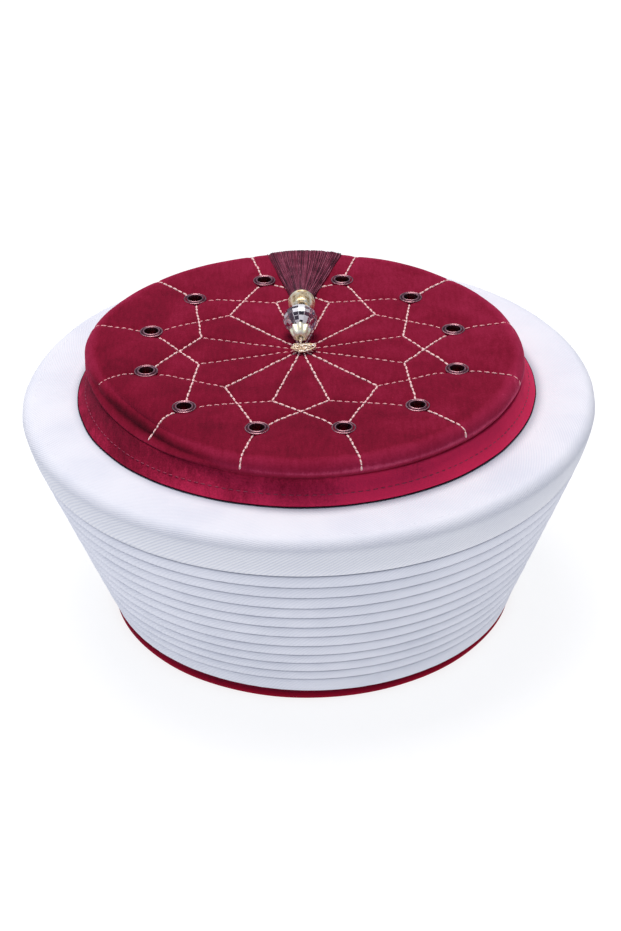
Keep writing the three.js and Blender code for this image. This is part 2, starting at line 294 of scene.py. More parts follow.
def makePaper():
    # white paper sweep, matt, lit until it nearly clips: pure white with a faint shadow
    material, tree = startMaterial("whitePaperSweep")
    matt = addNode(tree, "ShaderNodeBsdfDiffuse", {"Color": hexColour(studio["paper"])})
    glow = addNode(tree, "ShaderNodeEmission",
                   {"Color": hexColour("#ffffff"), "Strength": studio["floorGlow"]})
    endMaterial(tree, addNode(tree, "ShaderNodeMixShader", {
        0: studio["glowShare"], 1: matt.outputs[0], 2: glow.outputs[0]}))
    return material


def makeFloor():
    mesh = bpy.data.meshes.new("floor")
    bm = bmesh.new()
    bmesh.ops.create_grid(bm, x_segments=1, y_segments=1, size=studio["floorSize"] / 2)
    bm.to_mesh(mesh)
    bm.free()
    mesh.materials.append(makePaper())
    floor = bpy.data.objects.new("floor", mesh)
    bpy.context.collection.objects.link(floor)


makeCamera()
makeSky()
makeSoftbox()
makeFloor()
bpy.context.scene.view_settings.view_transform = "Standard"
print("stage: camera, light and floor")


# the hat's own measures, in millimetres
crownLow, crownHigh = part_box("crown")
hat = {
    "capRadius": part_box("cap_body")[1].x / mm,
    "ringTop": 110.7,
    "crownUnder": 122.9,
    "crownTop": 131.4,
    "crownRadius": (crownHigh.x - crownLow.x) / 2 / mm,
    "crownShift": (crownHigh.x + crownLow.x) / 2 / mm,
    "lean": 0.4,             # degrees
    "sagDepth": 2.2,
    "sagAngle": 50,          # degrees from the front towards -X
    "sagHalf": 30,
    "sagStart": 84.5,
    "sagWidth": 20,
}


def settle(spot):
    # the crown leans a little and sags at its left front, all that lies on it with it
    share = clamp((spot.z - hat["ringTop"]) / (hat["crownUnder"] - hat["ringTop"]))
    x = spot.x - hat["crownShift"]
    out = clamp((math.hypot(x, spot.y) - hat["sagStart"]) / hat["sagWidth"])
    drop = hat["sagDepth"] * swell(x, spot.y, hat["sagAngle"], hat["sagHalf"]) * out
    spot.z -= share * (spot.x * math.tan(math.radians(hat["lean"])) + drop)


def settleAll(bm):
    for vert in bm.verts:
        settle(vert.co)


velvetLook = {
    # the pile's tones: deep, middle, lit and glint
    "crown": ("#560418", "#7d0e2a", "#9d2244", "#c8486a"),
    # the collar's tones are a lighter copy of the crown's: painted light on the velvet's wall
    "collar": ("#861330", "#cf2b55", "#e32d5a", "#dd3c66"),
    # the hem's tones are a lighter copy too: painted light from the floor
    "hem": ("#7d0e2a", "#980525", "#b81038", "#c43a5c"),
    "shadow": "#38020e",
    "sheen": "#ec5683",
    "napPatch": 26,      # mm across a patch of brushed nap
    "ribPitch": 1.5,     # mm; the real rib is 0.8 mm, drawn coarser so that it shows
    "fibre": 0.7,        # mm
    "paintedSheenLean": (0.35, 0.6, 0.0),   # painted sheen of the brushed nap: lighter towards the back and +X
}


def makeVelvet(name, tones):
    # cotton velvet: matt, a pale bloom at grazing; painted shade and light come from an attribute and
    # from a lean by side
    look = velvetLook
    deep, middle, lit, glint = tones
    material, tree = startMaterial(name)
    place = addNode(tree, "ShaderNodeTexCoord")
    patches = addNode(tree, "ShaderNodeTexNoise", {
        "Vector": place.outputs["Object"], "Scale": 1000 / look["napPatch"],
        "Detail": 5.0, "Roughness": 0.62, "Distortion": 0.4})
    stretched = addNode(tree, "ShaderNodeMapping", {
        "Vector": place.outputs["Object"], "Scale": (1.0, 0.22, 0.35)})
    ribs = addNode(tree, "ShaderNodeTexNoise", {
        "Vector": stretched.outputs[0], "Scale": 1000 / look["ribPitch"], "Detail": 2.0})
    # painted sheen: the pile's tone rises towards the back and +X
    paintedSheen = addNode(tree, "ShaderNodeVectorMath", {
        0: place.outputs["Object"], 1: look["paintedSheenLean"]}, operation="DOT_PRODUCT")
    both = addNode(tree, "ShaderNodeMix", {0: 0.3, 2: patches.outputs[0], 3: ribs.outputs[0]},
                   data_type="FLOAT")
    fibres = addNode(tree, "ShaderNodeTexNoise", {
        "Vector": place.outputs["Object"], "Scale": 1000 / look["fibre"], "Detail": 3.0})
    grain = addNode(tree, "ShaderNodeMix", {0: 0.3, 2: both.outputs[0], 3: fibres.outputs[0]},
                    data_type="FLOAT")
    leaned = addNode(tree, "ShaderNodeMath", {0: grain.outputs[0], 1: paintedSheen.outputs["Value"]},
                     operation="ADD")
    # painted shade where the attribute is high and painted light where it is low
    paintedShadeAndLight = addNode(tree, "ShaderNodeAttribute", attribute_name="paintedShadeAndLight")
    darker = addNode(tree, "ShaderNodeMath", {
        0: paintedShadeAndLight.outputs["Fac"], 1: -0.5, 2: leaned.outputs[0]}, operation="MULTIPLY_ADD")
    ramp = addNode(tree, "ShaderNodeValToRGB", {"Fac": darker.outputs[0]})
    setRamp(ramp, [(0.0, look["shadow"]), (0.25, deep), (0.5, middle), (0.78, lit), (1.0, glint)])
    pile = addNode(tree, "ShaderNodeMix", {0: 0.5, 2: fibres.outputs[0], 3: ribs.outputs[0]},
                   data_type="FLOAT")
    bump = addNode(tree, "ShaderNodeBump", {
        "Height": pile.outputs[0], "Strength": 0.45, "Distance": 0.0005})
    endMaterial(tree, addNode(tree, "ShaderNodeBsdfPrincipled", {
        "Base Color": ramp.outputs[0], "Normal": bump.outputs[0], "Roughness": 0.92,
        "Specular IOR Level": 0.1, "Sheen Weight": 0.32, "Sheen Roughness": 0.4,
        "Sheen Tint": hexColour(look["sheen"])}))
    return material


velvet = makeVelvet("burgundyCottonVelvet", velvetLook["crown"])
# the collar's copy of the velvet is lighter: painted light
litCollarVelvet = makeVelvet("burgundyVelvetLitCollar", velvetLook["collar"])
hemVelvet = makeVelvet("burgundyVelvetLitHem", velvetLook["hem"])


clothLook = {
    # colours, relief, how strongly the twill's lines show on the sides and on the flat ring,
    # their angle in degrees from the band's own direction, and how uneven they are
    "band": {"white": "#f0f1f6", "shade": "#e2e5ee", "relief": 0.4, "sideLines": 0.5,
             "topLines": 0.2, "angle": 27, "uneven": 1.2},
    "pleats": {"white": "#ebedf6", "shade": "#e1e4ee", "relief": 0.35, "sideLines": 0.25,
               "topLines": 0.25, "angle": 33, "uneven": 4.0},
    # the colour of the painted shade in the creases and beside the collar's edge
    "crease": "#8b90a0",
    "twillPitch": 1.15,   # mm; the real twill line is 0.5 mm, drawn coarser so that it shows
    "yarn": 0.45,         # mm
    "softPatch": 30,      # mm
    "ringEdge": (5, 1),   # mm below the ring's top, where the side's lines end and the top's start
}
wavePeriod = 0.314        # of the wave texture at scale 1


def makeTwill(name, look):
    # bleached cotton twill, woven: matt white with fine slanting lines
    material, tree = startMaterial(name)
    place = addNode(tree, "ShaderNodeUVMap", uv_map="cloth")
    turned = addNode(tree, "ShaderNodeMapping", {
        "Vector": place.outputs[0], "Rotation": (0, 0, math.radians(90 - look["angle"]))})
    lines = addNode(tree, "ShaderNodeTexWave", {
        "Vector": turned.outputs[0], "Scale": wavePeriod / clothLook["twillPitch"],
        "Distortion": look["uneven"], "Detail": 1.0, "Detail Scale": 0.4})
    body = addNode(tree, "ShaderNodeTexCoord")
    yarns = addNode(tree, "ShaderNodeTexNoise", {
        "Vector": body.outputs["Object"], "Scale": 1000 / clothLook["yarn"], "Detail": 2.0})
    soft = addNode(tree, "ShaderNodeTexNoise", {
        "Vector": body.outputs["Object"], "Scale": 1000 / clothLook["softPatch"], "Detail": 3.0})
    # on the flat ring, lit from above, the lines show less
    level = addNode(tree, "ShaderNodeSeparateXYZ", {0: body.outputs["Object"]})
    start, end = clothLook["ringEdge"]
    shown = addNode(tree, "ShaderNodeMapRange", {
        "Value": level.outputs[2], "From Min": (hat["ringTop"] - start) * mm,
        "From Max": (hat["ringTop"] - end) * mm, "To Min": look["sideLines"],
        "To Max": look["topLines"]})
    mixed = addNode(tree, "ShaderNodeMix", {
        0: shown.outputs[0], 2: soft.outputs[0], 3: lines.outputs[1]}, data_type="FLOAT")
    ramp = addNode(tree, "ShaderNodeValToRGB", {"Fac": mixed.outputs[0]})
    setRamp(ramp, [(0.3, look["shade"]), (0.62, look["white"])])
    # painted shade in the folds' creases and beside the collar's edge
    creaseShades = addNode(tree, "ShaderNodeAttribute", attribute_name="crease")
    shaded = addNode(tree, "ShaderNodeMix", {
        0: creaseShades.outputs["Fac"], 6: ramp.outputs[0], 7: hexColour(clothLook["crease"])},
        data_type="RGBA")
    relief = addNode(tree, "ShaderNodeMix", {0: 0.3, 2: lines.outputs[1], 3: yarns.outputs[0]},
                     data_type="FLOAT")
    bump = addNode(tree, "ShaderNodeBump", {
        "Height": relief.outputs[0], "Strength": look["relief"], "Distance": 0.0003})
    endMaterial(tree, addNode(tree, "ShaderNodeBsdfPrincipled", {
        "Base Color": shaded.outputs[2], "Normal": bump.outputs[0], "Roughness": 0.88,
        "Specular IOR Level": 0.2, "Sheen Weight": 0.1, "Sheen Roughness": 0.5}))
    return material


twill = makeTwill("whiteCottonTwill", clothLook["band"])
pleatCloth = makeTwill("pleatedWhiteCotton", clothLook["pleats"])


# the cap: a velvet wall, open below, with its rolled hem
cap = {
    "wall": 3.0,
    "top": 122.6,
    "hemOut": 0.9,
    "hemHigh": 3.1,
    "innerBend": 3,
    "outerBend": 1,
    "hemWave": 0.0022,   # share of the radius, fading out over waveHigh
    "waveHigh": 8,
    "steps": 240,
}


def makeCap():
    outer, inner = hat["capRadius"], hat["capRadius"] - cap["wall"]
    fold, hem = cap["hemHigh"] / 2, cap["hemHigh"]
    bend, edge = cap["innerBend"], cap["outerBend"]
    under = cap["top"] - cap["wall"]
    outline = [(0, under)] + arc((inner - bend, under - bend), bend, 90, 0, 4)
    outline += [(inner, z) for z in (90, 60, 30, 12)]
    outline += [(inner, hem + 0.4), (inner - 0.3, hem - 0.3)]
    outline += [(inner - 0.5, fold), (inner - 0.2, 0.5), (inner + 0.5, 0.06)]
    outline += [(outer - 0.6, 0.0), (outer + 0.35, 0.25), (outer + 0.75, 0.8)]
    outline += [(outer + cap["hemOut"], fold), (outer + 0.7, fold + 0.9)]
    outline += [(outer + 0.25, hem), (outer, hem + 0.5)]
    outline += [(outer, z) for z in (12, 40, 80, 108, 116)]
    outline += arc((outer - edge, cap["top"] - edge), edge, 0, 90, 4) + [(0, cap["top"])]
    bm = spinOutline(outline, cap["steps"], closed=False)
    for vert in bm.verts:
        low = 1 - min(vert.co.z / cap["waveHigh"], 1)
        turn = math.atan2(vert.co.y, vert.co.x)
        wave = noise.noise(Vector((3 * math.cos(turn), 3 * math.sin(turn), 4.2)))
        vert.co.xy *= 1 + cap["hemWave"] * low * wave
    settleAll(bm)
    piece = addPiece("capBody", bm, velvet, "burgundy_velvet", "cap_body")
    # the rolled hem gets the lighter copy of the velvet: painted light
    piece.data.materials.append(hemVelvet)
    for face in piece.data.polygons:
        if face.center.z < (hem + 0.2) * mm:
            face.material_index = 1


makeCap()
print("stage: cap")


# the wrap: twelve lapped pleats
wrap = {
    "inner": 97.3,
    "low": 5.3,
    "lowRadius": 99.0,
    "flare": 0.38,
    "pleats": 12,
    "firstEdge": 14.5,
    "top": 90.8,
    "growth": 0.115,
    "lap": 1.1,
    "tuck": 1.5,       # how far up the gap behind a pleat's lip reaches
    "puff": 0.3,
    "shoulder": 1.3,   # how far below the lip above it a pleat starts to roll in
    "steps": 396,
    "sway": (0.5, 0.2),           # up and down, in long and short waves
    "slack": (0.3, 0.28, 0.1),    # in and out, in long and short waves and creases
    "swayFade": 8,
    "hemTilt": 1.1,    # the lowest edge hangs lower at the right than at the left front
    "hemAngle": 55,
    "hemDrop": 0.35,
    "dropHigh": 12,
    "unrolled": 115,   # radius that the cloth is unrolled at
}


def wrapRadius(height):
    return wrap["lowRadius"] + wrap["flare"] * (height - wrap["low"])


def pleatEdge(index):
    if index == 0:
        return wrap["low"]
    share = (index - 1) / (wrap["pleats"] - 1)
    grown = share - wrap["growth"] * share * (1 - share)
    return wrap["firstEdge"] + (wrap["top"] - wrap["firstEdge"]) * grown


def lip(radius, height):
    # the rolled lower lip of a fold, from its back to its front: radius, height and painted crease
    # shade
    return [(radius - 0.95, height + 0.4, 1), (radius - 0.75, height + 0.08, 0.8),
            (radius - 0.45, height - 0.02, 0.3), (radius - 0.22, height + 0.14, 0),
            (radius - 0.12, height + 0.6, 0)]


def shoulder(radius, height):
    # a fold's upper end, which rolls in behind the lip above it
    return [(radius - 1.17, height - 1.0, 0.05), (radius - 1.32, height - 0.72, 0.6),
            (radius - 1.6, height - 0.3, 0.8), (radius - 1.9, height + 0.3, 1)]


def makeWrap():
    edges = [pleatEdge(i) for i in range(wrap["pleats"] + 1)]
    outline = [(wrap["inner"], edges[0] + 0.3, 0)]
    for i in range(wrap["pleats"]):
        low, high = edges[i], edges[i + 1]
        radius, above = wrapRadius(low), wrapRadius(high)
        if i > 0:
            # painted shade in the gap behind the lip
            outline += [(radius - 1.95, low + wrap["tuck"], 1), (radius - 1.2, low + wrap["tuck"], 1)]
        outline += lip(radius, low)
        start, end = (radius - 0.12, low + 0.6), (above - wrap["lap"], high - wrap["shoulder"])
        for share in (0.25, 0.5, 0.75, 1.0):
            bulge = wrap["puff"] * math.sin(math.pi * share)
            outline.append((mix(start[0], end[0], share) + bulge, mix(start[1], end[1], share), 0))
        outline += shoulder(above, high)[:3 if i == wrap["pleats"] - 1 else 4]
    outline.append((wrap["inner"], edges[-1], 0))
    bm = spinCreased(outline, wrap["steps"])
    longUp, shortUp = wrap["sway"]
    longOut, shortOut, creaseOut = wrap["slack"]
    for vert in bm.verts:
        spot = vert.co
        radius = math.hypot(spot.x, spot.y)
        if radius < wrap["inner"] + 0.1:
            continue
        ring = ringOf(spot, radius)
        free = min((wrap["top"] - spot.z) / wrap["swayFade"], 1)
        long = noise.noise(ring * 1.6 + Vector((0, 0, spot.z / 9)))
        short = noise.noise(ring * 9 + Vector((7, 0, spot.z / 6)))
        crease = noise.noise(ring * 30 + Vector((0, 5, spot.z / 5)))
        spot.z += free * (longUp * long + shortUp * short)
        spot.xy *= 1 + free * (longOut * long + shortOut * short + creaseOut * crease) / radius
        low = 1 - clamp((spot.z - wrap["low"]) / wrap["dropHigh"])
        tilt = 1 - 2 * swell(spot.x, spot.y, wrap["hemAngle"], 180)
        spot.z -= low * (wrap["hemDrop"] + wrap["hemTilt"] * tilt)
    wrapUv(bm, wrap["unrolled"])
    return addPiece("pleatedWrap", bm, pleatCloth, "white_twill", "pleated_wrap")


makeWrap()


# the smooth band above the pleats, with the flat ring
band = {
    "low": 91.1,
    "flare": 0.27,
    "round": 5.0,
    "puff": 0.3,
    # radius and painted shadow beside the collar's edge
    "edgeShade": ((113.0, 0), (111.5, 0.08), (110.4, 0.2), (109.4, 0.36), (108.4, 0.5), (105, 0.5)),
    "sway": (0.3, 0.1),      # up and down, in long and short waves
    "slack": (0.25, 0.15),   # in and out
    "steps": 396,
    "unrolled": 135,
}


def makeBand():
    radius, top = wrapRadius(band["low"]), hat["ringTop"]
    rounded = top - band["round"]
    topRadius = radius + band["flare"] * (rounded - band["low"])
    # painted shade under the band's lip
    outline = [(wrap["inner"], band["low"] + 0.1, 0), (radius - 6, band["low"] + 0.1, 1)]
    outline += [(radius - 1.3, band["low"] + 0.5, 1)] + lip(radius, band["low"])
    for share in (0.14, 0.28, 0.42, 0.56, 0.7, 0.85):
        bulge = band["puff"] * math.sin(math.pi * share)
        outline.append((mix(radius - 0.1, topRadius, share) + bulge,
                        mix(band["low"], rounded, share), 0))
    corner = arc((topRadius - band["round"], rounded), band["round"], 0, 90, 10)
    outline += [(*point, 0) for point in corner]
    outline += [(topRadius - band["round"] - away, top, 0) for away in (2, 5, 9, 13)]
    # the collar's edge lies here: painted shadow on the cloth beside it
    outline += [(away, top, shade) for away, shade in band["edgeShade"]]
    outline += [(wrap["inner"] + 3, top, 0), (wrap["inner"], top - 0.3, 0)]
    bm = spinCreased(outline, band["steps"])
    for vert in bm.verts:
        spot = vert.co
        radius = math.hypot(spot.x, spot.y)
        if radius < wrap["inner"] + 4 or spot.z < band["low"] + 0.2:
            continue
        ring = ringOf(spot, radius)
        long = noise.noise(ring * 2.2 + Vector((3, 0, spot.z / 14)))
        short = noise.noise(ring * 10 + Vector((0, 9, spot.z / 8)))
        out = min((radius - wrap["inner"] - 4) / 10, 1)
        share = min((spot.z - band["low"]) / 8, 1)
        spot.z += out * share * (band["sway"][0] * long + band["sway"][1] * short)
        spot.xy *= 1 + out * (band["slack"][0] * long + band["slack"][1] * short) / radius
    wrapUv(bm, band["unrolled"])
    return addPiece("topBand", bm, twill, "white_twill", "top_band")


makeBand()
print("stage: wrap and band")


# the collar: a flared velvet band with a cut lower edge
collar = {
    "low": 111.0,
    "lowRadius": 107.6,
    "middleRadius": 103.5,
    "high": 122.6,
    "highRadius": 101.4,
    "wall": 2.4,
    "rows": 14,
    "bulge": 2.0,
    "bulgeAngle": 80,
    "bulgeHalf": 70,
    "ripple": 0.35,
    "slumpIn": 1.4,        # the top edge follows the crown's pressed edge
    "slumpAngle": 45,      # degrees from the front towards -X
    "slumpHalf": 46,
    "topShade": 0.1,       # painted light and shade: lighter at the right and towards the low edge, darker at the left and the top
    "lowLight": 0.16,
    "sideShade": 0.54,
    "darkEdgeHigh": 0.45,       # how far up the dark band shows: the cut edge's backing and painted contact shade
    "backing": 0.714,      # mm between the threads of the velvet's backing
    "steps": 360,
    "stitchHeight": 115.6,
    "stitchLength": 2.4,
    "stitchPitch": 3.4,
    "stitchWidth": 0.5,
    "stitchGrain": 0.667,  # mm
}


def collarRadius(height):
    # a smooth flare through the low, middle and high radius
    share = (height - collar["low"]) / (collar["high"] - collar["low"])
    low, middle, high = collar["lowRadius"], collar["middleRadius"], collar["highRadius"]
    return (low * (1 - share) * (1 - 2 * share) + 4 * middle * share * (1 - share)
            + high * share * (2 * share - 1))


def collarShare(height):
    return clamp((height - collar["low"]) / (collar["high"] - collar["low"]))


def collarBulge(x, y, height):
    away = swell(x, y, collar["bulgeAngle"], collar["bulgeHalf"])
    return collar["bulge"] * away * (1 - collarShare(height))


# the same velvet, cut: the raw edge shows the dark matt backing, and the band is partly painted
# contact shade where the collar meets the ring
cutEdgeAndShade = makeGrained("cutVelvetEdgeAndShade", (collar["backing"], 2.0, 0.5),
                      [(0.35, "#240610"), (0.7, "#460f22")],
                      {"Roughness": 0.95, "Specular IOR Level": 0.1}, bump=(0.5, 0.0003))


def makeCollar():
    first, last = collar["low"] + 0.55, collar["high"] - 0.3
    heights = [mix(first, last, i / collar["rows"]) for i in range(collar["rows"] + 1)]
    outside = [(collarRadius(z), z) for z in heights]
    inside = [(max(r - collar["wall"], hat["capRadius"] + 0.4), z) for r, z in outside[::-1]]
    low = collarRadius(collar["low"])
    outline = [(low - collar["wall"] + 0.3, collar["low"] + 0.1), (low - 0.35, collar["low"])]
    outline += [(low - 0.08, collar["low"] + 0.25)] + outside
    outline += [(collar["highRadius"] - 0.3, collar["high"])]
    outline += [(collar["highRadius"] - collar["wall"] + 0.3, collar["high"])] + inside
    bm = spinOutline(outline, collar["steps"])
    layer = bm.verts.layers.float.new("paintedShadeAndLight")
    for vert in bm.verts:
        spot = vert.co
        radius = math.hypot(spot.x, spot.y)
        ring = ringOf(spot, radius)
        high = collarShare(spot.z)
        ripple = collar["ripple"] * (1 - high) * noise.noise(ring * 6 + Vector((0, 0, 11)))
        # painted light and shade on the collar's pile, by height and by side
        vert[layer] = collar["topShade"] * high - collar["lowLight"] * (1 - high)
        vert[layer] -= collar["sideShade"] * ring.x
        inward = collar["slumpIn"] * high ** 2
        inward *= swell(spot.x, spot.y, collar["slumpAngle"], collar["slumpHalf"])
        grown = max(radius + collarBulge(spot.x, spot.y, spot.z) + ripple - inward,
                    hat["capRadius"] + 0.3)
        spot.xy *= grown / radius
    settleAll(bm)
    piece = addPiece("flaredCollar", bm, litCollarVelvet, "burgundy_velvet", "collar")
    piece.data.materials.append(cutEdgeAndShade)
    for face in piece.data.polygons:
        if face.center.z < (collar["low"] + collar["darkEdgeHigh"]) * mm:
            face.material_index = 1


makeCollar()
print("stage: collar")


# the stitched star on the crown
pattern = {
    "points": 12,
    "turn": 14,           # degrees from the back towards -X
    "circle": 74.6,       # mm, radius of the eyelets' circle
    "innerShare": 0.665,  # the inner corners' share of that radius
    "startShare": 0.06,   # where the spokes leave the knot, as a share of their length
    "eyeletReach": 5.8,   # a line stops at an eyelet's rim
    # how far past the crown's widest line each outer line ends
    "rimEnds": (0, -1.5, -3, -1.2, 2.5, 1, 2, 4, 4.5, 2, 0, 0),
}


def spoke(index, radius):
    angle = math.radians(pattern["turn"] + 360 / pattern["points"] * index)
    return Vector((hat["crownShift"] - radius * math.sin(angle), radius * math.cos(angle)))


innerRadius = pattern["circle"] * pattern["innerShare"]
patternMiddle = Vector((hat["crownShift"], 0))
topLines = []
for k in range(pattern["points"]):
    corner = spoke(k, innerRadius)
    topLines.append((patternMiddle.lerp(corner, pattern["startShare"]), corner))
    for side in (-1, 1):
        away = spoke(k + side, pattern["circle"])
        short = (corner - away).normalized() * pattern["eyeletReach"]
        topLines.append((corner, away + short))
rimLines = [(spoke(k, pattern["circle"] + pattern["eyeletReach"]), spoke(k, hat["crownRadius"]))
            for k in range(pattern["points"])]


# the crown: the padded quilted disc
crown = {
    "upperRound": 4.9,
    "lowerRound": 3.5,
    "groove": 0.75,       # depth of the stitched lines
    "grooveWidth": 1.1,
    "puff": 0.55,         # how far the padding rises between the lines
    "puffWidth": 6.0,
    "rimPuff": 0.6,       # share of the quilting that goes on down the rounded edge
    "dimple": 0.7,        # depth of the dimple at an eyelet
    "dimpleWidth": 3.2,
    "slack": 0.28,        # the velvet's slow waves
    "slackPatch": 26,
    "rimWave": 0.35,
    "slumpAngle": 53,     # degrees from the front towards -X
    "slumpHalf": 54,
    "slumpShade": 0.68,   # painted shade in the fold under the pressed edge
    "slumpLight": 0.45,
    "slumpStart": 79,
    "slumpWidth": 22,
    "slumpIn": 11.0,
    "slumpBase": 0.36,    # how much of that the underside moves
    "slumpDown": 3.3,
    "foldDown": 0.6,      # the painted fold shade's darkest line lies this far below the lower round's top
    "foldWidth": 2.2,
    "rimBloom": 0.42,     # painted light on the rounded edge
    "rimGlint": 0.55,     # a painted glint, lightest on its widest line
    "glintWidth": 1.3,
    "steps": 420,
    "rings": 104,
    "holeRadius": 4.3,
    "drill": 24,
}


def eyeletSpot(index):
    low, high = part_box(f"eyelet_{index + 1:02d}")
    return Vector(((low.x + high.x) / 2 / mm, (low.y + high.y) / 2 / mm))


eyeletSpots = [eyeletSpot(k) for k in range(pattern["points"])]


def puffed(plans):
    # how far the crown's upper side stands above or below its plain level at spots in plan
    near = np.full(len(plans), 1e6)
    for start, end in topLines + rimLines:
        start, along = np.array(start), np.array(end - start)
        share = np.clip((plans - start) @ along / (along @ along), 0, 1)
        away = np.linalg.norm(plans - start - share[:, None] * along, axis=1)
        near = np.minimum(near, away)
    rise = crown["puff"] * (0.5 - np.exp(-near / crown["puffWidth"]))
    rise -= crown["groove"] * np.exp(-((near / crown["grooveWidth"]) ** 2))
    for hole in eyeletSpots:
        away = np.linalg.norm(plans - np.array(hole), axis=1) - pattern["eyeletReach"]
        rise -= crown["dimple"] * np.exp(-((np.maximum(away, 0) / crown["dimpleWidth"]) ** 2))
    return rise


def slackRise(x, y):
    patch = crown["slackPatch"]
    return crown["slack"] * noise.noise(Vector((x / patch, y / patch, 1.7)))


def rimWave(spot, away):
    share = min((away - hat["crownRadius"] + crown["upperRound"] + 2) / 4, 1)
    height = Vector((0, 0, spot.z / 7))
    return crown["rimWave"] * share * noise.noise(ringOf(spot, away) * 7 + height)


def slump(spot):
    # at the left front the crown's edge is pressed in and rolls down to the collar; this moves a spot
    # so, and gives the painted shade in the fold there and the painted light below it
    x = spot.x - hat["crownShift"]
    away = math.hypot(x, spot.y)
    if away < crown["slumpStart"]:
        return 0
    under, lower = hat["crownUnder"], crown["lowerRound"]
    edge = min((away - crown["slumpStart"]) / crown["slumpWidth"], 1)
    share = swell(x, spot.y, crown["slumpAngle"], crown["slumpHalf"])
    high = clamp((spot.z - under) / (hat["crownTop"] - under))
    raised = clamp((spot.z - under) / lower)
    inward = crown["slumpIn"] * mix(crown["slumpBase"], 1, raised) * share * edge * edge
    spot.x = hat["crownShift"] + x * (1 - inward / away)
    spot.y *= 1 - inward / away
    spot.z -= crown["slumpDown"] * share * edge * edge * high
    fold = math.exp(-(((spot.z - under - lower + crown["foldDown"]) / crown["foldWidth"]) ** 2))
    return share * edge * (crown["slumpShade"] * fold - crown["slumpLight"] * (1 - raised))


def makeCrown():
    radius, top, under = hat["crownRadius"], hat["crownTop"], hat["crownUnder"]
    upper, lower = crown["upperRound"], crown["lowerRound"]
    flat = radius - upper
    outline = [(flat * i / crown["rings"], top) for i in range(crown["rings"])]
    outline += arc((radius - upper, top - upper), upper, 90, 0, 12)
    outline += arc((radius - lower, under + lower), lower, 0, -90, 8)[1:]
    outline += [(away, under) for away in (95, 84, 72, 60, 40, 20, 0)]
    bm = spinOutline(outline, crown["steps"], closed=False)
    plans = np.array([(vert.co.x + hat["crownShift"], vert.co.y) for vert in bm.verts])
    layer = bm.verts.layers.float.new("paintedShadeAndLight")
    for vert, rise in zip(bm.verts, puffed(plans)):
        spot = vert.co
        away = max(math.hypot(spot.x, spot.y), 0.01)
        if spot.z > under + lower:
            share = clamp((away - flat) / upper)
            slack = slackRise(spot.x + hat["crownShift"], spot.y)
            spot.z += (rise + slack) * (1 - share)
            spot.xy *= 1 + rise * crown["rimPuff"] * share / away
        # painted light on the rounded edge, strongest on its widest line
        bloom = 0
        if away > flat - 2:
            spot.xy *= 1 + rimWave(spot, away) / away
            bloom = crown["rimBloom"] * min((away - flat + 2) / 4, 1)
            bloom *= clamp((spot.z - under) / lower)
            line = (spot.z - under - lower) / crown["glintWidth"]
            bloom += crown["rimGlint"] * math.exp(-(line ** 2))
        spot.x += hat["crownShift"]
        # painted shade in the fold, less the painted light on the rounded edge
        paintedShadeAndLight = slump(spot)
        vert[layer] = paintedShadeAndLight - bloom * (1 - min(abs(paintedShadeAndLight) * 1.4, 1))
    settleAll(bm)
    return addPiece("quiltedCrown", bm, velvet, "burgundy_velvet", "crown")


def boreCrown(piece):
    # the twelve holes
    bm = bmesh.new()
    for spot in eyeletSpots:
        place = Matrix.Translation((spot.x, spot.y, hat["crownTop"] - 5))
        bmesh.ops.create_cone(bm, cap_ends=True, segments=32, radius1=crown["holeRadius"],
                              radius2=crown["holeRadius"], depth=crown["drill"], matrix=place)
    bmesh.ops.scale(bm, vec=(mm, mm, mm), verts=bm.verts)
    mesh = bpy.data.meshes.new("drills")
    bm.to_mesh(mesh)
    bm.free()
    drills = bpy.data.objects.new("drills", mesh)
    bpy.context.collection.objects.link(drills)
    cut = piece.modifiers.new("holes", "BOOLEAN")
    cut.operation, cut.object, cut.solver = "DIFFERENCE", drills, "EXACT"
    view = bpy.context.evaluated_depsgraph_get()
    bored = bpy.data.meshes.new_from_object(piece.evaluated_get(view))
    piece.modifiers.clear()
    piece.data = bored
    bored.name = piece.name
    bpy.data.objects.remove(drills)


crownPiece = makeCrown()
boreCrown(crownPiece)
print("stage: crown", len(crownPiece.data.polygons))


# the running stitches
thread = {
    "wide": 1.06,        # mm, the lines that lie on the padding
    "wideStitch": 3.3,
    "wideGap": 0.25,
    "slim": 0.74,        # the crosswise lines are pulled tighter
    "slimStitch": 2.7,
    "slimGap": 0.9,
    "crosswise": 2.1,    # a line this much wider than deep is a crosswise one
    "wander": 0.24,
    "widths": (0.86, 1.12),
    "sunk": 0.1,
    "flatSunk": 0.45,    # shares of the groove's depth
    "rimSunk": 0.2,
    "spacing": 0.3,      # mm between the points of a line
    "seed": 5,
    "light": "#ffe9e3",
    "middle": "#ffcac5",
    "dark": "#f29b99",
    "slimLight": "#ffa6af",
    "slimDark": "#dc7080",
    "twist": 0.9,        # mm between the plies
}


def makeTwistedThread(name, dark, middle, light):
    # two-ply metallised thread, twisted: pale with a soft shine and fine slanting plies
    material, tree = startMaterial(name)
    place = addNode(tree, "ShaderNodeUVMap", uv_map="thread")
    plies = addNode(tree, "ShaderNodeTexWave", {
        "Vector": place.outputs[0], "Scale": wavePeriod / thread["twist"],
        "Distortion": 0.5, "Detail": 1.0}, bands_direction="DIAGONAL")
    ramp = addNode(tree, "ShaderNodeValToRGB", {"Fac": plies.outputs[1]})
    setRamp(ramp, [(0.0, dark), (0.4, middle), (0.75, light)])
    bump = addNode(tree, "ShaderNodeBump", {
        "Height": plies.outputs[1], "Strength": 0.3, "Distance": 0.0002})
    shader = addNode(tree, "ShaderNodeBsdfPrincipled", {
        "Base Color": ramp.outputs[0], "Normal": bump.outputs[0], "Roughness": 0.42,
        "Specular IOR Level": 0.5, "Sheen Weight": 0.2})
    endMaterial(tree, shader)
    return material


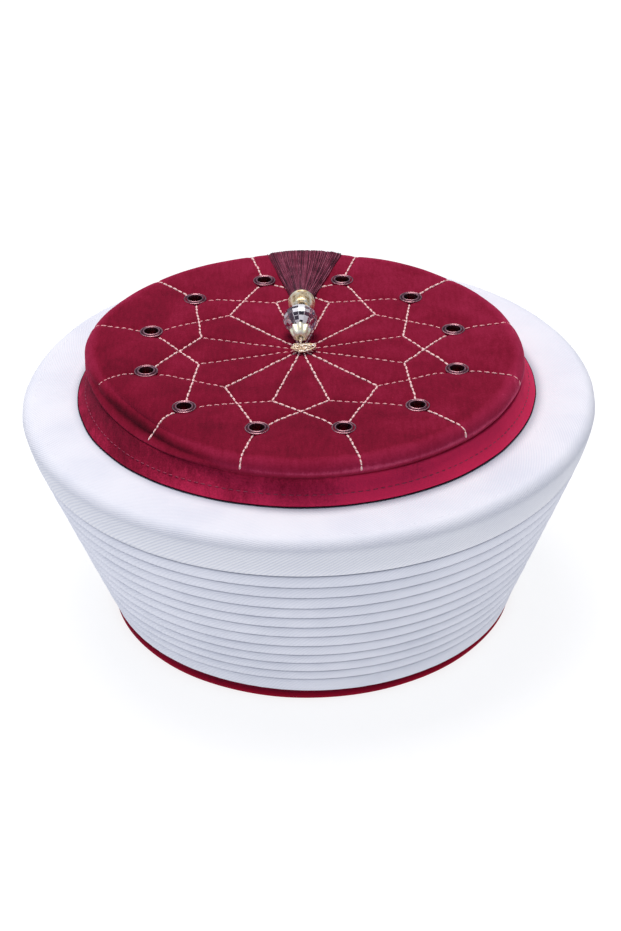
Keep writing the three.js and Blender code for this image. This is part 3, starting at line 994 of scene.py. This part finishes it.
goldThread = makeTwistedThread("paleTwistedThread", thread["dark"], thread["middle"],
                               thread["light"])
slimThread = makeTwistedThread("rosyTwistedThread", thread["slimDark"], thread["slimLight"],
                               thread["middle"])


def crownUp(plan):
    # a point on the crown's flat upper side at a spot in plan
    level = hat["crownTop"] + slackRise(plan.x, plan.y) - crown["puff"] / 2
    for hole in eyeletSpots:
        reach = max((plan - hole).length - pattern["eyeletReach"], 0)
        level -= crown["dimple"] * math.exp(-((reach / crown["dimpleWidth"]) ** 2))
    return Vector((plan.x, plan.y, level))


def rimPoint(index, distance):
    # along an outer line: over the flat, down the rounded edge and a little below the widest line
    flat, upper = hat["crownRadius"] - crown["upperRound"], crown["upperRound"]
    start = pattern["circle"] + pattern["eyeletReach"]
    if start + distance <= flat:
        return crownUp(spoke(index, start + distance)), Vector((0, 0, 1))
    past = start + distance - flat
    outward = spoke(index, 1) - patternMiddle
    if past < upper * math.pi / 2:
        angle = past / upper
        out, height = flat + upper * math.sin(angle), hat["crownTop"] - upper * (1 - math.cos(angle))
        height -= crown["puff"] * 0.5 * math.cos(angle)
        up = (math.sin(angle), math.cos(angle))
    else:
        lower = crown["lowerRound"]
        angle = (past - upper * math.pi / 2) / lower
        out = hat["crownRadius"] - lower * (1 - math.cos(angle))
        height = hat["crownUnder"] + lower * (1 - math.sin(angle))
        up = (math.cos(angle), -math.sin(angle))
    spot = Vector((outward.x * out, outward.y * out, height))
    out += rimWave(spot, out) if out > flat else 0
    plan = spoke(index, out)
    normal = Vector((outward.x * up[0], outward.y * up[0], up[1]))
    return Vector((plan.x, plan.y, height)), normal


def addStitch(bm, start, end, normal, width):
    # one stitch: a slim rounded body whose ends dip into the cloth
    along = end - start
    length = along.length
    along.normalize()
    across = normal.cross(along).normalized()
    up = along.cross(across)
    turned = Matrix((across, up, along)).transposed().to_4x4()
    middle = (start + end) / 2
    shape = Matrix.Diagonal((width / 2, width / 2, length / 2, 1))
    part = bmesh.new()
    layer = part.loops.layers.uv.new("thread")
    bmesh.ops.create_uvsphere(part, u_segments=8, v_segments=6, radius=1,
                              matrix=Matrix.Translation(middle) @ turned @ shape)
    for face in part.faces:
        for loop in face.loops:
            rel = loop.vert.co - middle
            turn = math.atan2(rel.dot(up), rel.dot(across))
            loop[layer].uv = (turn * width * 0.5, rel.dot(along) + middle.x)
    pour(part, bm)


def stitchLine(bm, points, normals, dice, kind):
    # running stitches along a line of close points
    spots = len(points) - 1
    total = sum((b - a).length for a, b in zip(points, points[1:]))
    stitch, gap = thread[kind + "Stitch"], thread[kind + "Gap"]
    count = max(round(total / (stitch + gap)), 1)
    for i in range(count):
        first = round(spots * i / count)
        last = round(spots * (i + 1 - gap / (stitch + gap)) / count)
        start, end = points[first].copy(), points[min(last, spots)].copy()
        normal = normals[(first + last) // 2]
        across = normal.cross(end - start).normalized()
        start += across * dice.uniform(-1, 1) * thread["wander"]
        end += across * dice.uniform(-1, 1) * thread["wander"]
        sink = normal * thread["sunk"]
        for spot in (start, end):
            slump(spot)
            settle(spot)
        width = thread[kind] * dice.uniform(*thread["widths"])
        addStitch(bm, start - sink, end - sink, normal, width)


def lineKind(along):
    return "slim" if abs(along.x) > thread["crosswise"] * abs(along.y) else "wide"


def makeStitches():
    dice = random.Random(thread["seed"])
    shapes = {kind: bmesh.new() for kind in ("wide", "slim")}
    for bm in shapes.values():
        bm.loops.layers.uv.new("thread")
    sunk = Vector((0, 0, crown["groove"] * thread["flatSunk"]))
    for start, end in topLines:
        count = max(int((end - start).length / thread["spacing"]), 2)
        points = [crownUp(start.lerp(end, i / count)) - sunk for i in range(count + 1)]
        kind = lineKind(end - start)
        stitchLine(shapes[kind], points, [Vector((0, 0, 1))] * len(points), dice, kind)
    flat = hat["crownRadius"] - crown["upperRound"]
    widest = (flat - pattern["circle"] - pattern["eyeletReach"]
              + crown["upperRound"] * math.pi / 2)
    for k, end in enumerate(pattern["rimEnds"]):
        count = int((widest + end) / thread["spacing"])
        found = [rimPoint(k, (widest + end) * i / count) for i in range(count + 1)]
        points = [spot - normal * crown["groove"] * thread["rimSunk"] for spot, normal in found]
        kind = lineKind(spoke(k, 1) - patternMiddle)
        stitchLine(shapes[kind], points, [normal for spot, normal in found], dice, kind)
    addPiece("crownStitches", shapes["wide"], goldThread, "gold_thread")
    addPiece("crosswiseStitches", shapes["slim"], slimThread, "gold_thread")


# polyester thread in the velvet's colour: a little brighter than the pile, with a soft shine
velvetThread = makeGrained("burgundySewingThread", (collar["stitchGrain"], 2.0, 0.5),
                           [(0.35, "#7f1a38"), (0.65, "#a53656")],
                           {"Roughness": 0.5, "Specular IOR Level": 0.4})


def makeTopstitch():
    bm = bmesh.new()
    bm.loops.layers.uv.new("thread")
    height = collar["stitchHeight"]
    radius = collarRadius(height)
    count = round(math.tau * radius / collar["stitchPitch"])
    half = math.pi / count * collar["stitchLength"] / collar["stitchPitch"]
    for i in range(count):
        ends = []
        turn = math.tau * i / count
        for side in (-half, half):
            spot = Vector((math.sin(turn + side), math.cos(turn + side), 0)) * radius
            spot.xy *= 1 + collarBulge(spot.x, spot.y, height) / radius
            spot.z = height
            settle(spot)
            ends.append(spot)
        normal = Vector((math.sin(turn), math.cos(turn), 0.6)).normalized()
        addStitch(bm, ends[0], ends[1], normal, collar["stitchWidth"])
    addPiece("collarTopstitch", bm, velvetThread, "burgundy_velvet")


makeStitches()
makeTopstitch()
print("stage: stitches")


eyelet = {
    "bore": 3.4,
    "wall": 0.7,
    "flange": 5.6,
    "height": 1.1,
    "seat": 0.2,      # above the dimple
    "steps": 40,
    "stain": 2.38,    # mm across a stain
}

# rolled bronze: a pinkish grey metal, with painted shade in its hollows and down its bore
bronze = makeGrained("rolledBronzeShadedHollows", (eyelet["stain"], 3.0, 0.5),
                     [(0.3, "#8e5f68"), (0.7, "#c9989f")], {"Metallic": 1.0},
                     bump=(0.12, 0.0002), rough=(0.26, 0.46), hollowShade="#4f2430")


def makeEyelets():
    bore, flange, high = eyelet["bore"], eyelet["flange"], eyelet["height"]
    barrel = bore + eyelet["wall"]
    for index, spot in enumerate(eyeletSpots):
        node = f"eyelet_{index + 1:02d}"
        low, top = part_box(node)
        depth = (top.z - low.z) / mm
        # the third column is painted shade in the hollows and down the bore
        outline = [(bore, -depth + high, 0.5), (bore, -0.8, 0.4), (bore + 0.04, 0.2, 0)]
        outline += [(*point, 0) for point in arc((bore + 0.4, 0.5), 0.36, 180, 0, 6)]
        outline += [(bore + 0.86, 0.14, 0.9), (bore + 1.4, 0.02, 0.9)]
        outline += [(*point, 0) for point in arc((flange - 0.36, 0.2), 0.34, 150, -60, 7)]
        outline += [(flange - 0.5, -0.25, 0), (barrel + 0.5, -0.3, 1), (barrel, -0.7, 1)]
        outline += [(barrel, -depth + high, 1)]
        bm = spinCreased(outline, eyelet["steps"])
        seat = hat["crownTop"] - crown["dimple"] - crown["puff"] / 2 + eyelet["seat"]
        bmesh.ops.translate(bm, vec=(spot.x, spot.y, seat), verts=bm.verts)
        settleAll(bm)
        addPiece(f"eyelet{index + 1:02d}", bm, bronze, "bronze", node)


makeEyelets()
print("stage: eyelets")


# the tassel's cup, bead and ferrule
tassel = {
    "beadMiddle": (-3.2, 13.2, 139.9),
    "beadTilt": 14,
    "beadLength": 13.4,
    "beadRadius": 8.2,
    # share of the length and of the radius, at each ring of facet corners
    "beadRings": ((0.0, 0.46), (0.08, 0.64), (0.2, 0.82), (0.33, 0.94), (0.47, 0.995),
                  (0.6, 0.98), (0.74, 0.87), (0.88, 0.69), (1.0, 0.46)),
    "beadFacets": 17,
    # painted reflection on each facet: 1 is white, -1 black and 0 clear
    "frontFacets": (-0.98, 0.95, 0.9, -0.95, 0.85, 0.95),
    "endFacets": (0.85, -0.3, 0.0),
    "sideFacets": (0.3, -0.3, 0.45, -0.45, 0.7),
    "brightEdge": 0.95,
    "clearEdge": 0.1,
    "edgeWidth": 0.1,
    "polishPatch": 1.667,   # mm
    "facetSeed": 9,
    "boreRadius": 1.3,
    "cupLength": 5.5,
    "cupRadius": 5.0,
    "cupWall": 0.7,
    "cupGap": 0.3,
    "petals": 8,
    "petalDepth": 0.2,
    "ferruleNear": (-2.4, 22.1, 142.1),
    "ferruleTilt": -19,
    "ferruleLength": 13.5,
    "ferruleRadius": 6.0,
    "ferruleNeck": 4.0,
    "ferruleWall": 0.8,
    "wearPatch": 2.63,      # mm across a worn spot of the plating
}


def alongAxis(bm, start, tilt):
    # a shape made round Z with its near end at the origin, laid along +Y with a tilt
    turn = Matrix.Rotation(math.radians(tilt), 4, "X") @ Matrix.Rotation(math.radians(-90), 4, "X")
    bmesh.ops.transform(bm, matrix=Matrix.Translation(start) @ turn, verts=bm.verts)
    settleAll(bm)


def axisOf(tilt):
    return Vector((0, math.cos(math.radians(tilt)), math.sin(math.radians(tilt))))


beadMiddle = Vector(tassel["beadMiddle"])
beadAxis = axisOf(tassel["beadTilt"])
ferruleNear = Vector(tassel["ferruleNear"])
ferruleAxis = axisOf(tassel["ferruleTilt"])
cupNear = beadMiddle - beadAxis * (tassel["beadLength"] / 2 + tassel["cupGap"] + tassel["cupLength"])


def makeGold(name, dark, middle, light, metal):
    # thin pressed brass with pale gold plating, a little worn: warm highlights, brownish mottling
    return makeGrained(name, (tassel["wearPatch"], 4.0, 0.65),
                       [(0.36, dark), (0.48, middle), (0.6, light)], {"Metallic": metal},
                       bump=(0.35, 0.0004), rough=(0.52, 0.28))


def makeCrystal():
    # lead crystal, cut and polished: clear, strong bending of what lies behind; white, black and plum
    # facets are painted reflections
    material, tree = startMaterial("cutLeadCrystal")
    place = addNode(tree, "ShaderNodeTexCoord")
    polish = addNode(tree, "ShaderNodeTexNoise", {
        "Vector": place.outputs["Object"], "Scale": 1000 / tassel["polishPatch"], "Detail": 1.0})
    rough = addNode(tree, "ShaderNodeMapRange", {
        "Value": polish.outputs[0], "To Min": 0.0, "To Max": 0.04})
    # painted reflections: each facet is given its own share, some white, some black, the others clear
    paintedReflection = addNode(tree, "ShaderNodeAttribute", attribute_name="paintedReflection")
    size = addNode(tree, "ShaderNodeMath", {0: paintedReflection.outputs["Fac"]}, operation="ABSOLUTE")
    through = addNode(tree, "ShaderNodeMapRange", {
        "Value": size.outputs[0], "From Min": 0.4, "From Max": 1.0, "To Min": 1.0, "To Max": 0.0})
    ramp = addNode(tree, "ShaderNodeMapRange", {
        "Value": paintedReflection.outputs["Fac"], "From Min": -1.0, "From Max": 1.0})
    tint = addNode(tree, "ShaderNodeValToRGB", {"Fac": ramp.outputs[0]})
    setRamp(tint, [(0.0, "#07030a"), (0.32, "#a06a86"), (0.46, "#e3c8d6"), (0.54, "#fdf7fa"),
                   (1.0, "#ffffff")])
    endMaterial(tree, addNode(tree, "ShaderNodeBsdfPrincipled", {
        "Base Color": tint.outputs[0], "Roughness": rough.outputs[0], "IOR": 1.6,
        "Transmission Weight": through.outputs[0], "Specular IOR Level": 0.7,
        "Coat Weight": 0.9, "Coat Roughness": 0.02}))
    return material


paleGold = makeGold("paleGoldPlatedBrass", "#9a6c38", "#fde4ae", "#fffae0", 0.85)
cupGold = makeGold("silveryGoldPlatedBrass", "#d9d09c", "#fdfbd6", "#ffffea", 0.35)


def makeCup():
    length, radius, wall = tassel["cupLength"], tassel["cupRadius"], tassel["cupWall"]
    outline = [(tassel["boreRadius"], 0), (radius * 0.5, 0.05), (radius * 0.68, length * 0.14)]
    outline += [(radius * 0.86, length * 0.4), (radius * 0.96, length * 0.7)]
    outline += [(radius, length - 0.5), (radius + 0.12, length - 0.2), (radius - 0.1, length)]
    outline += [(radius - wall, length - 0.05), (radius - wall - 0.15, length * 0.72)]
    outline += [(radius * 0.68, length * 0.42), (radius * 0.5, length * 0.2)]
    outline += [(tassel["boreRadius"], wall)]
    bm = spinOutline(outline, 96)
    for vert in bm.verts:
        # pressed petals, deeper towards the mouth
        spot = vert.co
        share = min(max(0.35 + spot.z / length, 0), 1) * min(spot.z / 0.8, 1)
        turn = math.atan2(spot.y, spot.x)
        petal = 0.5 - 0.5 * math.cos(tassel["petals"] * turn)
        spot.xy *= 1 - tassel["petalDepth"] * share * petal
    alongAxis(bm, cupNear, tassel["beadTilt"])
    addPiece("beadCup", bm, cupGold, "pale_gold", "bead_cup")


def makeBead():
    # rings of corners whose hull gives flat square facets
    bm = bmesh.new()
    count = tassel["beadFacets"]
    for share, across in tassel["beadRings"]:
        for i in range(count):
            angle = math.tau * (i + 0.5) / count
            radius = tassel["beadRadius"] * across
            bm.verts.new((radius * math.cos(angle), radius * math.sin(angle),
                          tassel["beadLength"] * (share - 0.5)))
    bmesh.ops.convex_hull(bm, input=bm.verts)
    bmesh.ops.dissolve_limit(bm, angle_limit=math.radians(2), verts=bm.verts, edges=bm.edges)
    bmesh.ops.recalc_face_normals(bm, faces=bm.faces)
    layer = bm.faces.layers.float.new("paintedReflection")
    alongAxis(bm, beadMiddle, tassel["beadTilt"])
    bm.normal_update()
    dice = random.Random(tassel["facetSeed"])
    for face in bm.faces:
        side = abs(face.normal.x)
        if side < 0.34 and face.normal.z > 0:
            face[layer] = dice.choice(tassel["frontFacets"])
        elif side > 0.86:
            face[layer] = dice.choice(tassel["endFacets"])
        else:
            face[layer] = dice.choice(tassel["sideFacets"])
    # painted highlights on the bevelled edges between the facets
    edges = bmesh.ops.bevel(bm, geom=bm.edges, offset=tassel["edgeWidth"], offset_type="OFFSET",
                            segments=1, profile=0.5, affect="EDGES", material=-1)
    bm.normal_update()
    for face in edges["faces"]:
        clear = 0.4 < abs(face.normal.x) < 0.85
        face[layer] = tassel["clearEdge"] if clear else tassel["brightEdge"]
    addPiece("crystalBead", bm, makeCrystal(), "crystal", "crystal_bead", smooth=False)


def makeFerrule():
    length, radius, wall = tassel["ferruleLength"], tassel["ferruleRadius"], tassel["ferruleWall"]
    neck = tassel["ferruleNeck"]
    outline = [(tassel["boreRadius"] * 1.6, 0), (neck - 0.5, 0), (neck, 0.5)]
    outline += [(neck + 0.9, length * 0.16), (radius - 0.35, length * 0.34)]
    outline += [(radius, length * 0.5), (radius - 0.15, length * 0.7)]
    outline += [(radius - 0.1, length - 1.6), (radius + 0.25, length - 1.3)]
    outline += arc((radius - 0.1, length - 0.6), 0.55, 60, -20, 4)[::-1]
    outline += [(radius - wall, length - 0.1), (radius - wall, length * 0.4)]
    outline += [(neck - wall, wall), (tassel["boreRadius"] * 1.6, wall)]
    bm = spinOutline(outline, 48)
    alongAxis(bm, ferruleNear, tassel["ferruleTilt"])
    addPiece("goldFerrule", bm, paleGold, "pale_gold", "ferrule")


def tubes(name, routes, radius, material, slot, *nodes, sides=0):
    # round strands along routes of points in millimetres, made one mesh
    data = bpy.data.curves.new(name, "CURVE")
    data.dimensions = "3D"
    data.bevel_depth = radius * mm
    data.bevel_resolution = sides
    data.use_fill_caps = True
    for route in routes:
        line = data.splines.new("POLY")
        line.points.add(len(route) - 1)
        for point, spot in zip(line.points, route):
            point.co = (*(spot * mm), 1)
    line = bpy.data.objects.new(name + "Line", data)
    bpy.context.collection.objects.link(line)
    view = bpy.context.evaluated_depsgraph_get()
    mesh = bpy.data.meshes.new_from_object(line.evaluated_get(view))
    bpy.data.objects.remove(line)
    mesh.name = name
    return finishPiece(name, mesh, material, nodes)


# the knot where the twelve lines' threads meet, and the cord that hangs from it
knot = {
    "width": 12.4,
    "height": 2.9,
    "loops": 18,
    "points": 18,
    "open": 0.85,             # how much of a full turn a loop makes
    "wide": (0.16, 0.46),     # a loop's radii as shares of the width
    "slim": (0.08, 0.3),
    "lean": 0.1125,
    "stretch": (1.12, 0.6),   # the tangle is drawn out sideways and lies flat
    "strand": 0.31,
    "shift": -2.1,            # mm, it lies a little more to the left than its solid's middle
    "strayX": (-2.6, 2.2),
    "strayY": (-1.3, 1.1),
    "seed": 11,
    "grain": 1.11,            # mm
}
cord = {
    "strand": 0.34,
    "apart": 0.33,     # mm, each strand's distance from the cord's middle
    "twist": 0.55,     # radians a point
    "points": 6,       # for each stretch
    "rise": 0.9,       # the cord's bow between the knot and the cup
    "reach": 1.1,      # how far it goes into the ferrule
}

# the same pale metallised thread, unwound: single shiny strands
knotThread = makeGrained("paleGoldKnotThread", (knot["grain"], 2.0, 0.5),
                         [(0.3, "#cba06e"), (0.5, "#fbe6c6"), (0.68, "#ffffff")],
                         {"Roughness": 0.38, "Metallic": 0.2, "Specular IOR Level": 0.5})


def makeKnot():
    dice = random.Random(knot["seed"])
    low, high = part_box("centre_knot")
    middle = Vector(((low.x + high.x) / 2 / mm, (low.y + high.y) / 2 / mm, low.z / mm))
    routes = []
    for i in range(knot["loops"]):
        wide = dice.uniform(*knot["wide"]) * knot["width"]
        slim = dice.uniform(*knot["slim"]) * knot["width"]
        turn = dice.uniform(0, math.tau)
        lean = dice.uniform(-1, 1) * knot["lean"]
        shift = Vector((knot["shift"] + dice.uniform(*knot["strayX"]),
                        dice.uniform(*knot["strayY"]), 0))
        start = dice.uniform(0, math.tau)
        route = []
        for step in range(knot["points"] + 1):
            angle = start + math.tau * knot["open"] * step / knot["points"]
            along, across = wide * math.cos(angle), slim * math.sin(angle)
            x = along * math.cos(turn) - across * math.sin(turn)
            y = along * math.sin(turn) + across * math.cos(turn)
            away = min(math.hypot(x, y) / (knot["width"] / 2), 1)
            dome = knot["height"] * (1 - away * away) * mix(0.25, 1, i / knot["loops"])
            z = max(knot["strand"] + dome + lean * y, knot["strand"] * 0.8)
            route.append(middle + shift + Vector((x * knot["stretch"][0],
                                                  y * knot["stretch"][1], z)))
        routes.append(route)
    tubes("centreKnot", routes, knot["strand"], knotThread, "gold_thread", "centre_knot", sides=1)


def makeHangingCord():
    # two strands out of the knot, through the cup and the bead, into the ferrule's neck
    low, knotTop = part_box("hanging_cord")[0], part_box("centre_knot")[1].z
    start = Vector((cupNear.x, low.y / mm + 0.3, knotTop / mm + 0.5))
    guide = [start, (start + cupNear) / 2 + Vector((0, 0, cord["rise"])), cupNear, beadMiddle,
             beadMiddle + beadAxis * tassel["beadLength"] / 2,
             ferruleNear + ferruleAxis * cord["reach"]]
    routes = []
    for phase in (0, math.pi):
        route = []
        for a, b in zip(guide, guide[1:]):
            for step in range(cord["points"]):
                spot = a.lerp(b, step / cord["points"])
                turn = phase + len(route) * cord["twist"]
                spot += Vector((math.cos(turn), 0, math.sin(turn))) * cord["apart"]
                settle(spot)
                route.append(spot)
        routes.append(route)
    tubes("hangingCord", routes, cord["strand"], knotThread, "gold_thread", "hanging_cord",
          sides=1)


makeCup()
makeBead()
makeFerrule()
makeKnot()
makeHangingCord()
print("stage: knot, cord, cup, bead and ferrule")


# the tassel's fringe
skirt = {
    "width": 33.6,
    "drift": 2.2,
    "thickness": 1.3,
    "bundle": 9.2,       # thickness where the floss leaves the ferrule
    "drop": 13.0,
    "strands": 1250,
    "strand": 0.19,
    # share of the way to the back edge, share of the width, how far it has thinned
    "sections": [(0, 0.27, 0), (0.1, 0.29, 0.12), (0.22, 0.305, 0.42), (0.336, 0.375, 0.66),
                 (0.47, 0.5, 0.82), (0.65, 0.68, 0.93), (0.84, 0.865, 1), (1, 1, 1)],
    "stray": 0.07,       # share of the width
    "strayMost": 0.2,
    "sway": 0.4,
    "shortest": 0.86,    # the shortest strand's share of the last stretch
    "mottle": 0.45,      # share of a strand's tone that is random, the rest is painted shade by its depth
    "shadePatch": 6.25,  # mm
    "seed": 23,
    "light": "#bb6880",
    "middle": "#6e2239",
    "dark": "#16050b",
    "sheen": "#e0a0b0",
}


def makeFloss():
    # mercerised embroidery floss, hanging straight: plum with a silky shine along each strand
    look = skirt
    material, tree = startMaterial("plumEmbroideryFloss")
    place = addNode(tree, "ShaderNodeTexCoord")
    shades = addNode(tree, "ShaderNodeTexNoise", {
        "Vector": place.outputs["Object"], "Scale": 1000 / look["shadePatch"], "Detail": 2.0})
    # the shade attribute: each strand's tone, partly random and partly painted shade deep in the
    # bundle
    strand = addNode(tree, "ShaderNodeAttribute", attribute_name="shade")
    both = addNode(tree, "ShaderNodeMix", {0: 0.7, 2: shades.outputs[0], 3: strand.outputs["Fac"]},
                   data_type="FLOAT")
    ramp = addNode(tree, "ShaderNodeValToRGB", {"Fac": both.outputs[0]})
    setRamp(ramp, [(0.22, look["dark"]), (0.55, look["middle"]), (0.85, look["light"])])
    endMaterial(tree, addNode(tree, "ShaderNodeBsdfPrincipled", {
        "Base Color": ramp.outputs[0], "Roughness": 0.45, "Specular IOR Level": 0.2,
        "Sheen Weight": 0.06, "Sheen Roughness": 0.4, "Sheen Tint": hexColour(look["sheen"])}))
    return material


def skirtRoute():
    # each section: distance from the crown's axis, height, width, thickness and drift
    mouth = ferruleNear + ferruleAxis * tassel["ferruleLength"]
    edge = hat["crownRadius"] - crown["upperRound"]
    half = skirt["thickness"] / 2
    over = crown["upperRound"] + 0.35 + half
    level = hat["crownTop"] - crown["upperRound"]
    start = mouth.y - 2.5
    route = []
    for along, width, thinned in skirt["sections"]:
        thick = mix(skirt["bundle"], skirt["thickness"], thinned)
        lying = hat["crownTop"] + 0.3 + thick / 2
        route.append((mix(start, edge, along), mix(mouth.z, lying, min(4 * along, 1)),
                      width * skirt["width"], thick, along * skirt["drift"]))
    last = (skirt["width"], skirt["thickness"], skirt["drift"])
    for i in range(1, 7):
        angle = math.pi / 2 * (1 - i / 6)
        route.append((edge + over * math.cos(angle), level + over * math.sin(angle), *last))
    route.append((edge + over + skirt["drop"] * 0.2, level - skirt["drop"] * 0.5, *last))
    route.append((edge + over + skirt["drop"] * 0.45, level - skirt["drop"], *last))
    return route


def makeSkirt():
    dice = random.Random(skirt["seed"])
    route = skirtRoute()
    routes, depths = [], []
    for i in range(skirt["strands"]):
        share = dice.uniform(-1, 1)
        depth = dice.uniform(-1, 1)
        sway = dice.uniform(-1, 1) * skirt["sway"]
        phase = dice.uniform(0, math.tau)
        cut = dice.uniform(skirt["shortest"], 1)
        stray = min(max(dice.gauss(0, skirt["stray"]), -skirt["strayMost"]), skirt["strayMost"])
        bow = math.sqrt(max(1 - 0.97 * share * share, 0.02))
        depths.append(depth)
        points = []
        for n, (along, height, width, thick, drift) in enumerate(route):
            crossed = share + stray * min(n / 7, 1)
            side = crossed * (width / 2 - skirt["strand"]) + drift
            side += sway * math.sin(phase + n * 0.7) * min(n / 3, 1)
            # round at the ferrule, then flat below and thinner towards the sides
            loose = clamp((skirt["bundle"] - thick) / (skirt["bundle"] - 3))
            raised = (depth * bow - loose * (1 - bow)) * thick / 2
            before, after = route[max(n - 1, 0)], route[min(n + 1, len(route) - 1)]
            tilt = math.atan2(after[1] - before[1], after[0] - before[0])
            away = along - raised * math.sin(tilt)
            points.append(Vector((hat["crownShift"] + side, math.sqrt(away * away - side * side),
                                  height + raised * math.cos(tilt))))
        points[-1] = points[-2].lerp(points[-1], cut)
        # the sharpest turn, where the floss leaves the ferrule, gets one more point on its curve
        points.insert(1, points[0] * 0.5 + points[1] * 0.5625 - points[2] * 0.0625)
        for spot in points:
            settle(spot)
        routes.append(points)
    piece = tubes("tasselStrands", routes, skirt["strand"], makeFloss(), "plum_floss",
                  "tassel_skirt")
    # one tone for each strand: partly random, partly painted shade, darker deep in the bundle
    shade = piece.data.attributes.new("shade", "FLOAT", "POINT")
    each = len(piece.data.vertices) // len(routes)
    tones = [mix(0.5 + 0.5 * depth, dice.random(), skirt["mottle"]) for depth in depths]
    shade.data.foreach_set("value", [tones[min(i // each, len(tones) - 1)]
                                     for i in range(len(piece.data.vertices))])
    return piece


strands = makeSkirt()
print("stage: skirt", len(strands.data.polygons))
